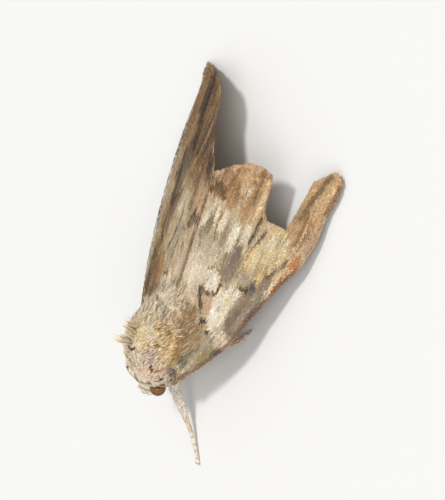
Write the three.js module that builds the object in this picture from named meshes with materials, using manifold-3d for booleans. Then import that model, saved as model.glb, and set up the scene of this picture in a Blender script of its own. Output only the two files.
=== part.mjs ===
// A noctuid moth at rest, life size, in millimetres.
// X points to the moth's right, Y forward and Z up. It stands on its six feet on the plane Z = 0,
// with its wings folded over the abdomen like a low roof. The left forewing has a worn, bitten margin.

import * as THREE from "three";
import { mergeVertices } from "three/addons/utils/BufferGeometryUtils.js";
import Module from "manifold-3d";

const wasm = await Module();
wasm.setup();

const X_AXIS = new THREE.Vector3(1, 0, 0);
const Y_AXIS = new THREE.Vector3(0, 1, 0);
const Z_AXIS = new THREE.Vector3(0, 0, 1);
const GAP = 0.3; // clear space kept between neighbouring pieces
const LEFT = -1;
const RIGHT = 1;

// The roof that the forewings form, with rise and steepening told over its length
const ROOF = {
  ridge: 5.54,
  rise: 0.3,
  slope: 0.122,
  steepening: 0.134,
  length: 20,
  curve: 0.0116,
  lowest: 0.68,
};

// Forewing outline, for one side: x is the distance from the ridge
const FOREWING = {
  rootY: 3.0, // front end of the inner margin
  tornusY: -16.0, // hind end of the inner margin
  costaRootX: 3.7,
  costaRootY: 6.8,
  apexX: 13.0,
  apexY: -21.9,
  arch: 2.2, // how quickly the leading edge swings out from the root
  waist: 0.35, // how far it draws in before the apex
  waistPlace: 0.87,
  waistLength: 0.07,
  thickness: 0.58, // measured upright
  rows: 15,
};

// Hind margins from the ridge out to the apex, as [x, y]
const WHOLE_MARGIN = [
  [0.15, -16.0], [2.1, -18.1], [3.7, -19.9], [4.5, -22.0], [5.8, -23.2], [9.5, -22.8], [13.0, -21.9],
];
const WORN_MARGIN = [
  [0.15, -16.0], [2.0, -17.8], [3.6, -18.9], [5.2, -19.3], [6.4, -19.1], [7.0, -15.2], [7.6, -14.4],
  [9.3, -14.6], [9.8, -16.6], [10.3, -20.6], [12.0, -22.7], [13.0, -21.9],
];

// How far each leading edge is tucked in along its middle
const WHOLE_WING = { margin: WHOLE_MARGIN, tucked: 0, columns: 16 };
const WORN_WING = { margin: WORN_MARGIN, tucked: 0.48, columns: 22 };

const HINDWING = {
  innerX: 1.8,
  outerX: 8.2,
  rootY: 1.2,
  tailY: -14.4,
  rootAngle: 0.35, // the width follows a sine from this angle
  tailAngle: 2.3, // to this one
  lag: 1.4, // how far the outer margin stops short of the inner one
  thickness: 0.55,
  rows: 9,
  columns: 5,
};

const BODY_STEPS = 12; // rings along the head and thorax
const BODY_SIDES = 18;
const THORAX = { y: 4.1, z: 5.6, halfWidth: 3.75, halfLength: 4.0, halfHeight: 3.6, fullness: 2.5 };
const TEGULA = {
  x: 2.75, y: 3.9, z: 6.3,
  halfWidth: 1.35, halfLength: 3.3, halfHeight: 1.5,
  splay: 0.16, // turn outwards towards the tail, in radians
  pitch: 0.06,
};
const HEAD = { y: 8.4, z: 5.4, halfWidth: 2.3, halfLength: 1.7, halfHeight: 1.85, fullness: 2.1 };
const ABDOMEN = {
  frontY: -1.4,
  tailY: -15.2,
  z: 2.75,
  radius: 1.8,
  tailRadius: 0.75,
  taper: 1.6, // how late the abdomen narrows
  segments: 7,
  crease: 0.035, // depth of the crease between segments, as a share of the radius
  roundingFrom: 0.9, // share of the length where the blunt tip begins
  roundingLength: 0.11,
  sides: 12,
};
const EYE = { x: 1.75, y: 8.75, z: 5.1, radius: 0.98 };

// The pale brush of hair that stands on the back of the thorax
const CREST = {
  frontY: 4.7,
  backY: 2.1,
  baseZ: 8.3,
  tipY: 3.0,
  tipZ: 11.5,
  halfWidth: 0.75,
  tipHalfWidth: 0.3,
  tipHalfLength: 0.42,
  steps: 5,
  sides: 12,
};

const LEG_RADII = { thigh: 0.55, knee: 0.42, ankle: 0.45, instep: 0.3, ball: 0.27, toe: 0.27 };
const LEG_SIDES = 6;
const DOME = { reach: 0.85, narrowing: 0.5 }; // rounded end of a limb piece, as shares of its radius

// Palps curve up in front of the face
const PALP_JOINTS = [[0.62, 9.4, 3.9], [0.6, 10.1, 4.2], [0.5, 10.5, 5.0], [0.42, 10.4, 5.9]];
const PALP_RADII = [0.5, 0.5, 0.425, 0.27];
const PALP_SIDES = 8;

// Joints of each leg, for one side: hip, knee, ankle, instep, ball and toe as [x, y, z]
const MID_LEG = [
  [2.4, 3.2, 2.9], [4.7, 3.4, 2.9], [5.7, 1.0, 1.5],
  [6.2, 0.3, 0.6], [6.5, -0.3, 0.3], [7.0, -1.1, 0.22],
];
const HIND_LEG = [
  [1.8, 0.9, 3.2], [3.4, -2.4, 2.5], [4.1, -6.2, 1.2],
  [4.7, -8.6, 0.5], [4.9, -9.5, 0.3], [5.1, -10.6, 0.22],
];
const STRETCHED_FORELEG = [
  [1.5, 6.1, 3.3], [2.05, 8.5, 3.1], [3.2, 10.9, 1.8],
  [4.5, 13.4, 0.7], [5.1, 14.5, 0.36], [6.3, 15.75, 0.22],
];
const FOLDED_FORELEG = [
  [1.5, 6.1, 3.3], [2.4, 7.9, 3.2], [4.7, 8.6, 1.9],
  [6.0, 10.6, 0.6], [6.3, 11.8, 0.3], [6.5, 12.9, 0.22],
];

// Antennae are laid back under the leading edges of the forewings
const ANTENNA = { radius: 0.26, steps: 20, sides: 6 };
const ANTENNA_PATH = [
  [0.9, 8.6, 6.3], [2.0, 8.2, 6.9], [3.1, 8.0, 5.6], [4.2, 6.7, 4.2], [5.2, 4.0, 3.3], [6.6, 0.5, 2.5],
  [7.7, -3.0, 2.1], [8.3, -6.5, 1.7],
];

const MATERIALS = {
  wing: new THREE.MeshStandardMaterial({ color: 0xa88f6c, roughness: 0.75, metalness: 0 }),
  fur: new THREE.MeshStandardMaterial({ color: 0xb59a78, roughness: 0.9, metalness: 0 }),
  eye: new THREE.MeshStandardMaterial({ color: 0x6b3a12, roughness: 0.25, metalness: 0 }),
  leg: new THREE.MeshStandardMaterial({ color: 0xc2b39a, roughness: 0.8, metalness: 0 }),
};

// Faces that join each ring of corners to the next
function bandFaces(ringCount, sides) {
  const faces = [];
  for (let i = 0; i + 1 < ringCount; i++) {
    for (let j = 0; j < sides; j++) {
      const a = i * sides + j;
      const b = i * sides + ((j + 1) % sides);
      faces.push(a, b, a + sides, b, b + sides, a + sides);
    }
  }
  return faces;
}

// Fan of faces from a hub to a ring whose corners start at first
function fanFaces(hub, first, sides, turned) {
  return Array.from({ length: sides }, (_, j) => {
    const here = first + j;
    const next = first + ((j + 1) % sides);
    return turned ? [hub, next, here] : [hub, here, next];
  }).flat();
}

const middleOf = (corners) =>
  corners.reduce((sum, corner) => sum.add(corner), new THREE.Vector3()).divideScalar(corners.length);

// A closed skin over a row of rings. Each ring runs anticlockwise seen from the far end of the row.
function skinOverRings(rings) {
  const sides = rings[0].length;
  const count = rings.length * sides;
  const corners = [...rings.flat(), middleOf(rings[0]), middleOf(rings.at(-1))];
  const faces = [
    ...bandFaces(rings.length, sides),
    ...fanFaces(count, 0, sides, true),
    ...fanFaces(count + 1, count - sides, sides, false),
  ];
  return new THREE.BufferGeometry().setFromPoints(corners).setIndex(faces);
}

// One ring of a body: an ellipse about middle in the plane of the two directions
function ring(middle, across, up, halfWidth, halfHeight, sides) {
  return Array.from({ length: sides }, (_, i) => {
    const angle = (2 * Math.PI * i) / sides;
    return middle
      .clone()
      .addScaledVector(across, halfWidth * Math.cos(angle))
      .addScaledVector(up, halfHeight * Math.sin(angle));
  });
}

// A rounded body along Y, fuller than an ellipsoid where fullness is over 2
function roundedBody(shape, grow = 0) {
  const rings = [];
  for (let i = 0; i <= BODY_STEPS; i++) {
    const along = -Math.cos((Math.PI * (i + 0.25)) / (BODY_STEPS + 0.5));
    const size = (1 - Math.abs(along) ** shape.fullness) ** (1 / shape.fullness);
    const middle = new THREE.Vector3(0, shape.y + along * (shape.halfLength + grow), shape.z);
    const halfWidth = size * (shape.halfWidth + grow);
    const halfHeight = size * (shape.halfHeight + grow);
    rings.push(ring(middle, Z_AXIS, X_AXIS, halfHeight, halfWidth, BODY_SIDES));
  }
  return skinOverRings(rings);
}

// A tapering limb piece from one joint to the next, with domed ends
function limb(from, to, fromRadius, toRadius, sides) {
  const axis = to.clone().sub(from).normalize();
  const helper = Math.abs(axis.z) < 0.9 ? Z_AXIS : X_AXIS;
  const across = new THREE.Vector3().crossVectors(helper, axis).normalize();
  const up = new THREE.Vector3().crossVectors(axis, across);
  const stations = [
    [from, -DOME.reach * fromRadius, DOME.narrowing * fromRadius],
    [from, 0, fromRadius],
    [to, 0, toRadius],
    [to, DOME.reach * toRadius, DOME.narrowing * toRadius],
  ];
  return skinOverRings(
    stations.map(([joint, along, radius]) =>
      ring(joint.clone().addScaledVector(axis, along), across, up, radius, radius, sides)
    )
  );
}

// Limb pieces along a row of joints
function limbs(joints, radii, side, sides) {
  const pieces = [];
  for (let i = 0; i + 1 < joints.length; i++) {
    const from = place(joints[i], side);
    const to = place(joints[i + 1], side);
    pieces.push(toSolid(limb(from, to, radii[i], radii[i + 1], sides)));
  }
  return joinAll(pieces);
}

function toSolid(geometry) {
  geometry.deleteAttribute("normal");
  geometry.deleteAttribute("uv");
  const merged = mergeVertices(geometry, 1e-4);
  return new wasm.Manifold(
    new wasm.Mesh({
      numProp: 3,
      vertProperties: new Float32Array(merged.attributes.position.array),
      triVerts: new Uint32Array(merged.index.array),
    })
  );
}

function toGeometry(solid) {
  const mesh = solid.getMesh();
  const geometry = new THREE.BufferGeometry();
  geometry.setAttribute("position", new THREE.BufferAttribute(mesh.vertProperties, 3));
  geometry.setIndex(new THREE.BufferAttribute(mesh.triVerts, 1));
  const flat = geometry.toNonIndexed();
  flat.computeVertexNormals();
  return flat;
}

const joinAll = (solids) => solids.reduce((whole, solid) => whole.add(solid));
const cutBy = (solid, ...tools) => tools.reduce((left, tool) => left.subtract(tool), solid);
const mix = (a, b, share) => a + (b - a) * share;
const place = ([x, y, z], side) => new THREE.Vector3(side * x, y, z);

// Everything under the floor, cut away so that the feet end in small flats
function underFloor() {
  const slab = new THREE.BoxGeometry(60, 80, 4);
  slab.translate(0, 0, -2);
  return toSolid(slab);
}

function eyeBall(side, grow = 0) {
  const ball = new THREE.SphereGeometry(EYE.radius + grow, 12, 9);
  ball.translate(side * EYE.x, EYE.y, EYE.z);
  return toSolid(ball);
}

// Height of the forewings' upper face at a distance x from the ridge
function roofHeight(x, y) {
  const back = -y / ROOF.length;
  const slope = ROOF.slope + ROOF.steepening * back;
  const height = ROOF.ridge + ROOF.rise * back - slope * x - ROOF.curve * x * x;
  return Math.max(height, ROOF.lowest);
}

// Distance of the leading edge from the ridge, from the wing root (0) to the apex (1)
function costaX(along, tucked) {
  const sweep = 1 - (1 - along) ** FOREWING.arch;
  const fromWaist = (along - FOREWING.waistPlace) / FOREWING.waistLength;
  const atWaist = FOREWING.waist * Math.exp(-(fromWaist ** 2));
  const { smoothstep } = THREE.MathUtils;
  const inMiddle = tucked * (smoothstep(along, 0.24, 0.42) - smoothstep(along, 0.54, 0.66));
  return mix(FOREWING.costaRootX, FOREWING.apexX, sweep) - atWaist - inMiddle;
}

// y of a hind margin at the distance x from the ridge
function marginY(margin, x) {
  const next = Math.max(1, margin.findIndex((corner) => corner[0] >= x - 1e-6));
  const [x0, y0] = margin[next - 1];
  const [x1, y1] = margin[next];
  return mix(y0, y1, THREE.MathUtils.clamp((x - x0) / (x1 - x0), 0, 1));
}

// A wing as a sheet with its upper face at height(x, y): at(along, across) gives its plan
function sheet(at, height, thickness, rows, columns, side) {
  const loops = [];
  for (let i = 0; i <= rows; i++) {
    const upper = [];
    const lower = [];
    for (let j = 0; j <= columns; j++) {
      const [x, y] = at(i / rows, j / columns);
      upper.push(new THREE.Vector3(side * x, y, height(x, y)));
      lower.unshift(new THREE.Vector3(side * x, y, height(x, y) - thickness));
    }
    loops.push(side === LEFT ? [...upper, ...lower] : [...upper, ...lower].reverse());
  }
  return toSolid(skinOverSheet(loops, columns));
}

// Rings of a sheet are long and thin, so their ends are closed by a strip and not by a fan
function skinOverSheet(loops, columns) {
  const sides = loops[0].length;
  const faces = bandFaces(loops.length, sides);
  const last = (loops.length - 1) * sides;
  for (let j = 0; j < columns; j++) {
    const k = sides - 1 - j;
    faces.push(j, k, j + 1, j + 1, k, k - 1);
    faces.push(last + j, last + j + 1, last + k, last + j + 1, last + k - 1, last + k);
  }
  return new THREE.BufferGeometry().setFromPoints(loops.flat()).setIndex(faces);
}

// Plan of a forewing: straight lines between the inner margin and the leading edge,
// with the hind margin's own shape worked in towards the tail
function forewingPlan({ margin, tucked }) {
  return (along, across) => {
    const x = mix(GAP / 2, costaX(along, tucked), across);
    const straight = mix(FOREWING.tornusY, FOREWING.apexY, across);
    const front = mix(FOREWING.rootY, FOREWING.costaRootY, across);
    const tailX = mix(GAP / 2, FOREWING.apexX, across);
    const y = mix(front, straight, along) + (marginY(margin, tailX) - straight) * along ** 3;
    return [x, y];
  };
}

function forewing(side, outline) {
  const plan = forewingPlan(outline);
  const whole = sheet(plan, roofHeight, FOREWING.thickness, FOREWING.rows, outline.columns, side);
  return cutBy(whole, thoraxBody(GAP));
}

// The folded hindwing lies under the forewing, beside the abdomen
function hindwing(side) {
  const plan = (along, across) => {
    const angle = mix(HINDWING.rootAngle, HINDWING.tailAngle, along);
    const width = (HINDWING.outerX - HINDWING.innerX) * Math.sin(angle);
    const y = mix(HINDWING.rootY, HINDWING.tailY, along) + HINDWING.lag * across * along;
    return [HINDWING.innerX + width * across, y];
  };
  const height = (x, y) => roofHeight(x, y) - FOREWING.thickness - GAP;
  const whole = sheet(plan, height, HINDWING.thickness, HINDWING.rows, HINDWING.columns, side);
  return cutBy(whole, thoraxBody(GAP));
}

// The crest is a blunt brush that narrows to its ragged top
function crest() {
  const rings = [];
  for (let i = 0; i <= CREST.steps; i++) {
    const up = i / CREST.steps;
    const y = mix((CREST.frontY + CREST.backY) / 2, CREST.tipY, up);
    const middle = new THREE.Vector3(0, y, mix(CREST.baseZ, CREST.tipZ, up));
    const halfLength = mix((CREST.frontY - CREST.backY) / 2, CREST.tipHalfLength, up);
    const halfWidth = mix(CREST.halfWidth, CREST.tipHalfWidth, up);
    rings.push(ring(middle, X_AXIS, Y_AXIS, halfWidth, halfLength, CREST.sides));
  }
  return toSolid(skinOverRings(rings));
}

// The flap of long scales over each wing root
function tegula(side, grow) {
  const flap = new THREE.SphereGeometry(1, 12, 7);
  flap.rotateX(Math.PI / 2);
  flap.scale(TEGULA.halfWidth + grow, TEGULA.halfLength + grow, TEGULA.halfHeight + grow);
  flap.rotateZ(side * TEGULA.splay);
  flap.rotateX(TEGULA.pitch);
  flap.translate(side * TEGULA.x, TEGULA.y, TEGULA.z);
  return toSolid(flap);
}

const thoraxBody = (grow = 0) =>
  joinAll([toSolid(roundedBody(THORAX, grow)), tegula(LEFT, grow), tegula(RIGHT, grow)]);
const headBody = (grow = 0) => toSolid(roundedBody(HEAD, grow));

function thorax() {
  return cutBy(thoraxBody().add(crest()), eyeBall(LEFT, GAP), eyeBall(RIGHT, GAP));
}

function head() {
  return cutBy(headBody(), thoraxBody(GAP), eyeBall(LEFT, GAP), eyeBall(RIGHT, GAP));
}

// Radius of the abdomen: segments that taper to a blunt tip
function abdomenRadius(along) {
  const taper = mix(ABDOMEN.radius, ABDOMEN.tailRadius, along ** ABDOMEN.taper);
  const segmentWave = Math.abs(Math.sin(Math.PI * ABDOMEN.segments * along));
  const bulge = 1 - ABDOMEN.crease * (1 - segmentWave);
  const intoTip = Math.max(0, along - ABDOMEN.roundingFrom) / ABDOMEN.roundingLength;
  return taper * bulge * Math.sqrt(1 - intoTip ** 2);
}

function abdomen() {
  const rings = [];
  const steps = 3 * ABDOMEN.segments;
  for (let i = 0; i <= steps; i++) {
    const along = i / steps;
    const middle = new THREE.Vector3(0, mix(ABDOMEN.frontY, ABDOMEN.tailY, along), ABDOMEN.z);
    const radius = abdomenRadius(along);
    rings.push(ring(middle, X_AXIS, Z_AXIS, radius, radius, ABDOMEN.sides));
  }
  return toSolid(skinOverRings(rings));
}

function leg(joints, side) {
  const whole = limbs(joints, Object.values(LEG_RADII), side, LEG_SIDES);
  return cutBy(whole, thoraxBody(GAP), headBody(GAP), eyeBall(side, GAP), underFloor());
}

function palp(side) {
  const whole = limbs(PALP_JOINTS, PALP_RADII, side, PALP_SIDES);
  return cutBy(whole, headBody(GAP), midline(side));
}

// The half of space on the other side of the midline, with half the gap
function midline(side) {
  const block = new THREE.BoxGeometry(20, 20, 20);
  block.translate(side * (GAP / 2 - 10), 10, 5);
  return toSolid(block);
}

function antenna(side) {
  const curve = new THREE.CatmullRomCurve3(ANTENNA_PATH.map((point) => place(point, side)));
  const rings = curve.getSpacedPoints(ANTENNA.steps).map((point, i) => {
    const tangent = curve.getTangentAt(i / ANTENNA.steps);
    const across = new THREE.Vector3().crossVectors(Z_AXIS, tangent).normalize();
    const up = new THREE.Vector3().crossVectors(tangent, across);
    return ring(point, across, up, ANTENNA.radius, ANTENNA.radius, ANTENNA.sides);
  });
  return cutBy(toSolid(skinOverRings(rings)), headBody(GAP), thoraxBody(GAP), eyeBall(side, GAP));
}

const moth = new THREE.Group();

function addPart(name, solid, material) {
  const mesh = new THREE.Mesh(toGeometry(solid), MATERIALS[material]);
  mesh.name = name;
  moth.add(mesh);
}

addPart("thorax", thorax(), "fur");
addPart("head", head(), "fur");
addPart("abdomen", abdomen(), "fur");
addPart("forewing_left", forewing(LEFT, WORN_WING), "wing");
addPart("forewing_right", forewing(RIGHT, WHOLE_WING), "wing");

for (const [sideName, side] of [["left", LEFT], ["right", RIGHT]]) {
  const foreleg = side === LEFT ? STRETCHED_FORELEG : FOLDED_FORELEG;
  addPart(`eye_${sideName}`, eyeBall(side), "eye");
  addPart(`palp_${sideName}`, palp(side), "fur");
  addPart(`antenna_${sideName}`, antenna(side), "leg");
  addPart(`foreleg_${sideName}`, leg(foreleg, side), "leg");
  addPart(`midleg_${sideName}`, leg(MID_LEG, side), "leg");
  addPart(`hindleg_${sideName}`, leg(HIND_LEG, side), "leg");
  addPart(`hindwing_${sideName}`, hindwing(side), "wing");
}

// The origin is on the floor, under the middle of the outline
const middle = new THREE.Box3().setFromObject(moth).getCenter(new THREE.Vector3());
moth.position.set(-middle.x, -middle.y, 0);

export default moth;
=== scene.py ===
import math
import bpy
import numpy as np
from mathutils.kdtree import KDTree
from mathutils import Matrix, Vector

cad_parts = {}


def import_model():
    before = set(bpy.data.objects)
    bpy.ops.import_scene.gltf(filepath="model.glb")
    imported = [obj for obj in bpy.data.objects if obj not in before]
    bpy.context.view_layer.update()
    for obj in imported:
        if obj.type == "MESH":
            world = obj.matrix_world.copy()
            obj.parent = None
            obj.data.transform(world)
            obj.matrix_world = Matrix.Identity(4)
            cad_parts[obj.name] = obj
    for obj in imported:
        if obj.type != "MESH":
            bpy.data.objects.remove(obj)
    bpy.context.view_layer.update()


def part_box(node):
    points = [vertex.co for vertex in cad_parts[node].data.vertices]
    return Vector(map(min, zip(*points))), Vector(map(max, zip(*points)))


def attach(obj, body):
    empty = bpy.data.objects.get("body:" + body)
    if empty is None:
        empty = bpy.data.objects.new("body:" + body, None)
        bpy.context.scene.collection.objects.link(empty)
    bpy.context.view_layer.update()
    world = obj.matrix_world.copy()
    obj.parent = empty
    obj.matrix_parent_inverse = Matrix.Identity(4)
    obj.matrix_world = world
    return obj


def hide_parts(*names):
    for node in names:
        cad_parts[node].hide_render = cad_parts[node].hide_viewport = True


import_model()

mm = 0.001
left, right = -1, 1
sides = {"left": left, "right": right}

# Places are written in the moth's own millimetres: x to its right, y forward, z up from the floor.
# Its zero lies 8.75 mm behind the eyes, on the midline.
eyeLow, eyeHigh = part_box("eye_left")
eyeMid = (Vector(eyeLow) + Vector(eyeHigh)) / 2
home = np.array([eyeMid.x + 1.75 * mm, eyeMid.y - 8.75 * mm, 0.0])


def world(points):
    return np.asarray(points, float) * mm + home


def blendTo(a, b, share):
    return a + (b - a) * share


def smooth(low, high, value):
    t = np.clip((value - low) / (high - low), 0, 1)
    return t * t * (3 - 2 * t)


def tint(red, green, blue):
    # a colour as it looks on screen, turned to the linear value that a shader takes
    values = np.array([red, green, blue]) / 255
    return np.where(values <= 0.04045, values / 12.92, ((values + 0.055) / 1.055) ** 2.4)


def held(colours, ceiling=0.92):
    # bright colours are drawn back without a change of hue
    return colours * (ceiling / np.maximum(colours.max(-1, keepdims=True), ceiling))


def hump(value, place, width):
    return np.exp(-(((value - place) / width) ** 2))


def unit(vectors):
    return vectors / np.maximum(np.linalg.norm(vectors, axis=-1, keepdims=True), 1e-9)


class Grain:
    # smooth random field over x and y, the same every run
    def __init__(self, seed):
        self.table = np.random.RandomState(seed).rand(256, 256)

    def at(self, x, y):
        x0, y0 = np.floor(x).astype(int), np.floor(y).astype(int)
        fx, fy = x - x0, y - y0
        fx, fy = fx * fx * (3 - 2 * fx), fy * fy * (3 - 2 * fy)
        pick = lambda i, j: self.table[(x0 + i) % 256, (y0 + j) % 256]
        low = pick(0, 0) * (1 - fx) + pick(1, 0) * fx
        high = pick(0, 1) * (1 - fx) + pick(1, 1) * fx
        return (low * (1 - fy) + high * fy) * 2 - 1

    def rough(self, x, y):
        finer, finest = self.at(2.1 * x + 7, 2.1 * y), self.at(4.3 * x, 4.3 * y + 3)
        return (self.at(x, y) + 0.5 * finer + 0.25 * finest) / 1.75


# ---- small modelling helpers

def deselectAll():
    if bpy.context.object and bpy.context.object.mode != "OBJECT":
        bpy.ops.object.mode_set(mode="OBJECT")
    bpy.ops.object.select_all(action="DESELECT")


def makeActive(piece):
    deselectAll()
    piece.select_set(True)
    bpy.context.view_layer.objects.active = piece


def applyPlace(piece):
    makeActive(piece)
    bpy.ops.object.transform_apply(location=True, rotation=True, scale=True)


def verticesOf(piece):
    flat = np.empty(len(piece.data.vertices) * 3)
    piece.data.vertices.foreach_get("co", flat)
    return flat.reshape(-1, 3)


def moveVertices(piece, points):
    piece.data.vertices.foreach_set("co", np.asarray(points, float).ravel())
    piece.data.update()


def paintOn(piece, colours, name="coat"):
    layer = piece.data.color_attributes.new(name, "FLOAT_COLOR", "POINT")
    full = np.ones((len(colours), 4))
    full[:, :3] = colours
    layer.data.foreach_set("color", full.ravel())


def finish(piece, material, nodes=(), smoothShade=True):
    piece.data.materials.append(material)
    piece.data.name = piece.name
    if smoothShade:
        makeActive(piece)
        bpy.ops.object.shade_smooth()
    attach(piece, "root")
    if nodes:
        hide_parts(*nodes)


# ---- shader helpers

class Wire:
    # one shader value; Python's operators add the Math nodes
    def __init__(self, paint, socket):
        self.paint = paint
        self.socket = socket

    def maths(self, operation, other):
        return self.paint.node("ShaderNodeMath", {"operation": operation}, [self, other])

    def __add__(self, other): return self.maths("ADD", other)
    def __radd__(self, other): return self.maths("ADD", other)
    def __rmul__(self, other): return self.maths("MULTIPLY", other)
    def __truediv__(self, other): return self.maths("DIVIDE", other)


class Paint:
    # one material and the nodes in it
    def __init__(self, name, roughness=0.7):
        self.material = bpy.data.materials.new(name)
        self.material.use_nodes = True
        self.tree = self.material.node_tree
        self.shader = self.tree.nodes["Principled BSDF"]
        self.shader.inputs["Roughness"].default_value = roughness

    def node(self, kind, settings, inputs, output=0):
        made = self.tree.nodes.new(kind)
        for key, value in settings.items():
            if key == "stops":
                self.setStops(made.color_ramp, value)
            else:
                setattr(made, key, value)
        pairs = inputs.items() if isinstance(inputs, dict) else enumerate(inputs)
        for key, value in pairs:
            self.feed(made.inputs[key], value)
        return Wire(self, made.outputs[output])

    def feed(self, socket, value):
        if isinstance(value, Wire):
            self.tree.links.new(value.socket, socket)
        elif value is not None:
            socket.default_value = value

    def setStops(self, ramp, stops):
        while len(ramp.elements) < len(stops):
            ramp.elements.new(0.5)
        for element, (place, colour) in zip(ramp.elements, stops):
            element.position = place
            element.color = (*colour, 1)

    def objectPlace(self):
        return self.node("ShaderNodeTexCoord", {}, [], "Object")

    def attribute(self, name):
        return self.node("ShaderNodeAttribute", {"attribute_name": name}, [], "Color")

    def speckle(self, place, fineness, detail=2.0):
        # noise that is fine or drawn out along each axis
        lie = self.node("ShaderNodeMapping", {}, {"Vector": place, "Scale": fineness})
        return self.node("ShaderNodeTexNoise", {}, {"Vector": lie, "Scale": 1.0, "Detail": detail,
                                                    "Roughness": 0.6}, "Fac")

    def cells(self, place, scale):
        return self.node("ShaderNodeTexVoronoi", {}, {"Vector": place, "Scale": scale}, "Distance")

    def mixed(self, share, first, second):
        return self.node("ShaderNodeMix", {"data_type": "RGBA"}, {"Factor": share, 6: first, 7: second}, 2)

    def scaled(self, colour, amount):
        return self.node("ShaderNodeVectorMath", {"operation": "SCALE"}, {0: colour, "Scale": amount})

    def bump(self, height, distance, strength):
        inputs = {"Height": height, "Distance": distance, "Strength": strength}
        self.into("Normal", self.node("ShaderNodeBump", {}, inputs, "Normal"))

    def into(self, name, value):
        self.feed(self.shader.inputs[name], value)


print("stage: helpers ready")


# ---- camera, floor and light

camera = {"azimuth": -59.49, "elevation": 35.94, "roll": -90.3, "distance": 280,
          "target": (-1.52, -7.71, 2.6), "lens": 221.97, "sensor": 36, "near": 0.01, "far": 20}


def makeCamera():
    azimuth, elevation, roll = (math.radians(camera[key]) for key in ("azimuth", "elevation", "roll"))
    back = Vector((math.sin(azimuth) * math.cos(elevation), -math.cos(azimuth) * math.cos(elevation),
                   math.sin(elevation)))
    across = Vector((0, 0, 1)).cross(back).normalized()
    up = back.cross(across)
    turnedAcross = across * math.cos(roll) + up * math.sin(roll)
    turnedUp = up * math.cos(roll) - across * math.sin(roll)
    data = bpy.data.cameras.new("camera")
    data.lens = camera["lens"]
    data.sensor_fit = "HORIZONTAL"
    data.sensor_width = camera["sensor"]
    data.clip_start = camera["near"]
    data.clip_end = camera["far"]
    made = bpy.data.objects.new("camera", data)
    bpy.context.scene.collection.objects.link(made)
    place = Vector(world(camera["target"])) + back * camera["distance"] * mm
    facing = Matrix((turnedAcross, turnedUp, back)).transposed().to_4x4()
    made.matrix_world = Matrix.Translation(place) @ facing
    bpy.context.scene.camera = made


studio = {"floorSize": 1.6, "floorColour": (0.70, 0.695, 0.68), "sky": 0.52}
lamps = {
    "key": {"from": (-0.05, -0.42, 0.89), "power": 1.2, "spread": 0.18},
    "fill": {"from": (-0.75, 0.0, 0.65), "power": 0.9, "spread": 1.0},
}


def makeLamp(name):
    lamp = lamps[name]
    data = bpy.data.lights.new(name, "SUN")
    data.energy = lamp["power"] * math.pi * 0.5
    data.angle = lamp["spread"]
    made = bpy.data.objects.new(name, data)
    bpy.context.scene.collection.objects.link(made)
    made.rotation_euler = Vector(lamp["from"]).to_track_quat("Z", "Y").to_euler()


def makeStudio():
    deselectAll()
    bpy.ops.mesh.primitive_plane_add(size=studio["floorSize"], location=(0, 0, 0))
    floor = bpy.context.object
    floor.name = "floor"
    paint = Paint("floor_paint", 0.9)
    paint.into("Base Color", (*studio["floorColour"], 1))
    floor.data.materials.append(paint.material)
    for name in lamps:
        makeLamp(name)
    sky = bpy.data.worlds.new("sky")
    bpy.context.scene.world = sky
    sky.use_nodes = True
    background = sky.node_tree.nodes["Background"]
    background.inputs["Color"].default_value = (1, 1, 1, 1)
    background.inputs["Strength"].default_value = studio["sky"]
    bpy.context.scene.view_settings.view_transform = "Standard"


makeCamera()
makeStudio()
print("stage: camera and studio")


# ---- wings

roof = {
    "ridge": 5.54, "rise": 0.3, "slope": 0.122, "steepening": 0.134, "curve": 0.0116, "lowest": 0.68,
    "length": 20,        # rise and steepening are told over this length
    "swell": 1.1, "swellX": 2.3, "swellWidth": 1.6,
}
forewing = {
    "rootY": 3.0, "tornusY": -16.0, "costaRootX": 3.7, "costaRootY": 6.8, "apexX": 13.0, "apexY": -21.9,
    "arch": 2.2, "seam": 0.05,
    "waist": 0.35, "waistPlace": 0.87, "waistLength": 0.07,
    "bulgePlace": 0.2, "bulgeLength": 0.13,
    "sink": 0.14,        # how far the membrane lies under the tips of its scales
    "thickness": 0.2, "edge": 0.5,
    "fringe": 0.45,      # how far the margin scales stand past the membrane
    "inner": 0.12, "length": 25,     # the skin ends this far inside the leading edge
    "columns": 104, "rows": 224,
}
bulge = {left: 0.12, right: 0.0}     # the left leading edge is splayed near its root
tucked = {left: 0.48, right: 0.0}    # and tucked in along its middle
wholeMargin = [(0.15, -16.0), (2.1, -18.1), (3.7, -19.9), (4.5, -22.0), (5.8, -23.2), (9.5, -22.8),
               (13.0, -21.9)]
wornMargin = [(0.15, -16.0), (2.0, -17.8), (3.6, -18.9), (5.2, -19.3), (6.4, -19.1), (6.8, -15.2),
              (7.4, -14.5), (9.6, -14.6), (10.0, -16.6), (10.4, -20.6), (12.0, -22.7), (13.0, -21.9)]


def rootEnd(y):
    # 1 at the root of the wings, 0 past the thorax
    return smooth(-2.5, 2.5, y)


def roofHeight(x, y):
    back = -y / roof["length"]
    slope = roof["slope"] + roof["steepening"] * back
    swell = roof["swell"] * hump(x, roof["swellX"], roof["swellWidth"]) * rootEnd(y)
    plane = roof["ridge"] + roof["rise"] * back - slope * x - roof["curve"] * x * x + swell
    return np.maximum(plane, roof["lowest"])


def costaX(along, side):
    # distance of the leading edge from the ridge
    along = np.minimum(along, 1)      # the fringe's roots can lie a touch past the margin
    waist = forewing["waist"] * hump(along, forewing["waistPlace"], forewing["waistLength"])
    splay = bulge[side] * hump(along, forewing["bulgePlace"], forewing["bulgeLength"])
    drawnIn = waist - splay + tucked[side] * (smooth(0.24, 0.42, along) - smooth(0.54, 0.66, along))
    return blendTo(forewing["costaRootX"], forewing["apexX"], 1 - (1 - along) ** forewing["arch"]) - drawnIn


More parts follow.
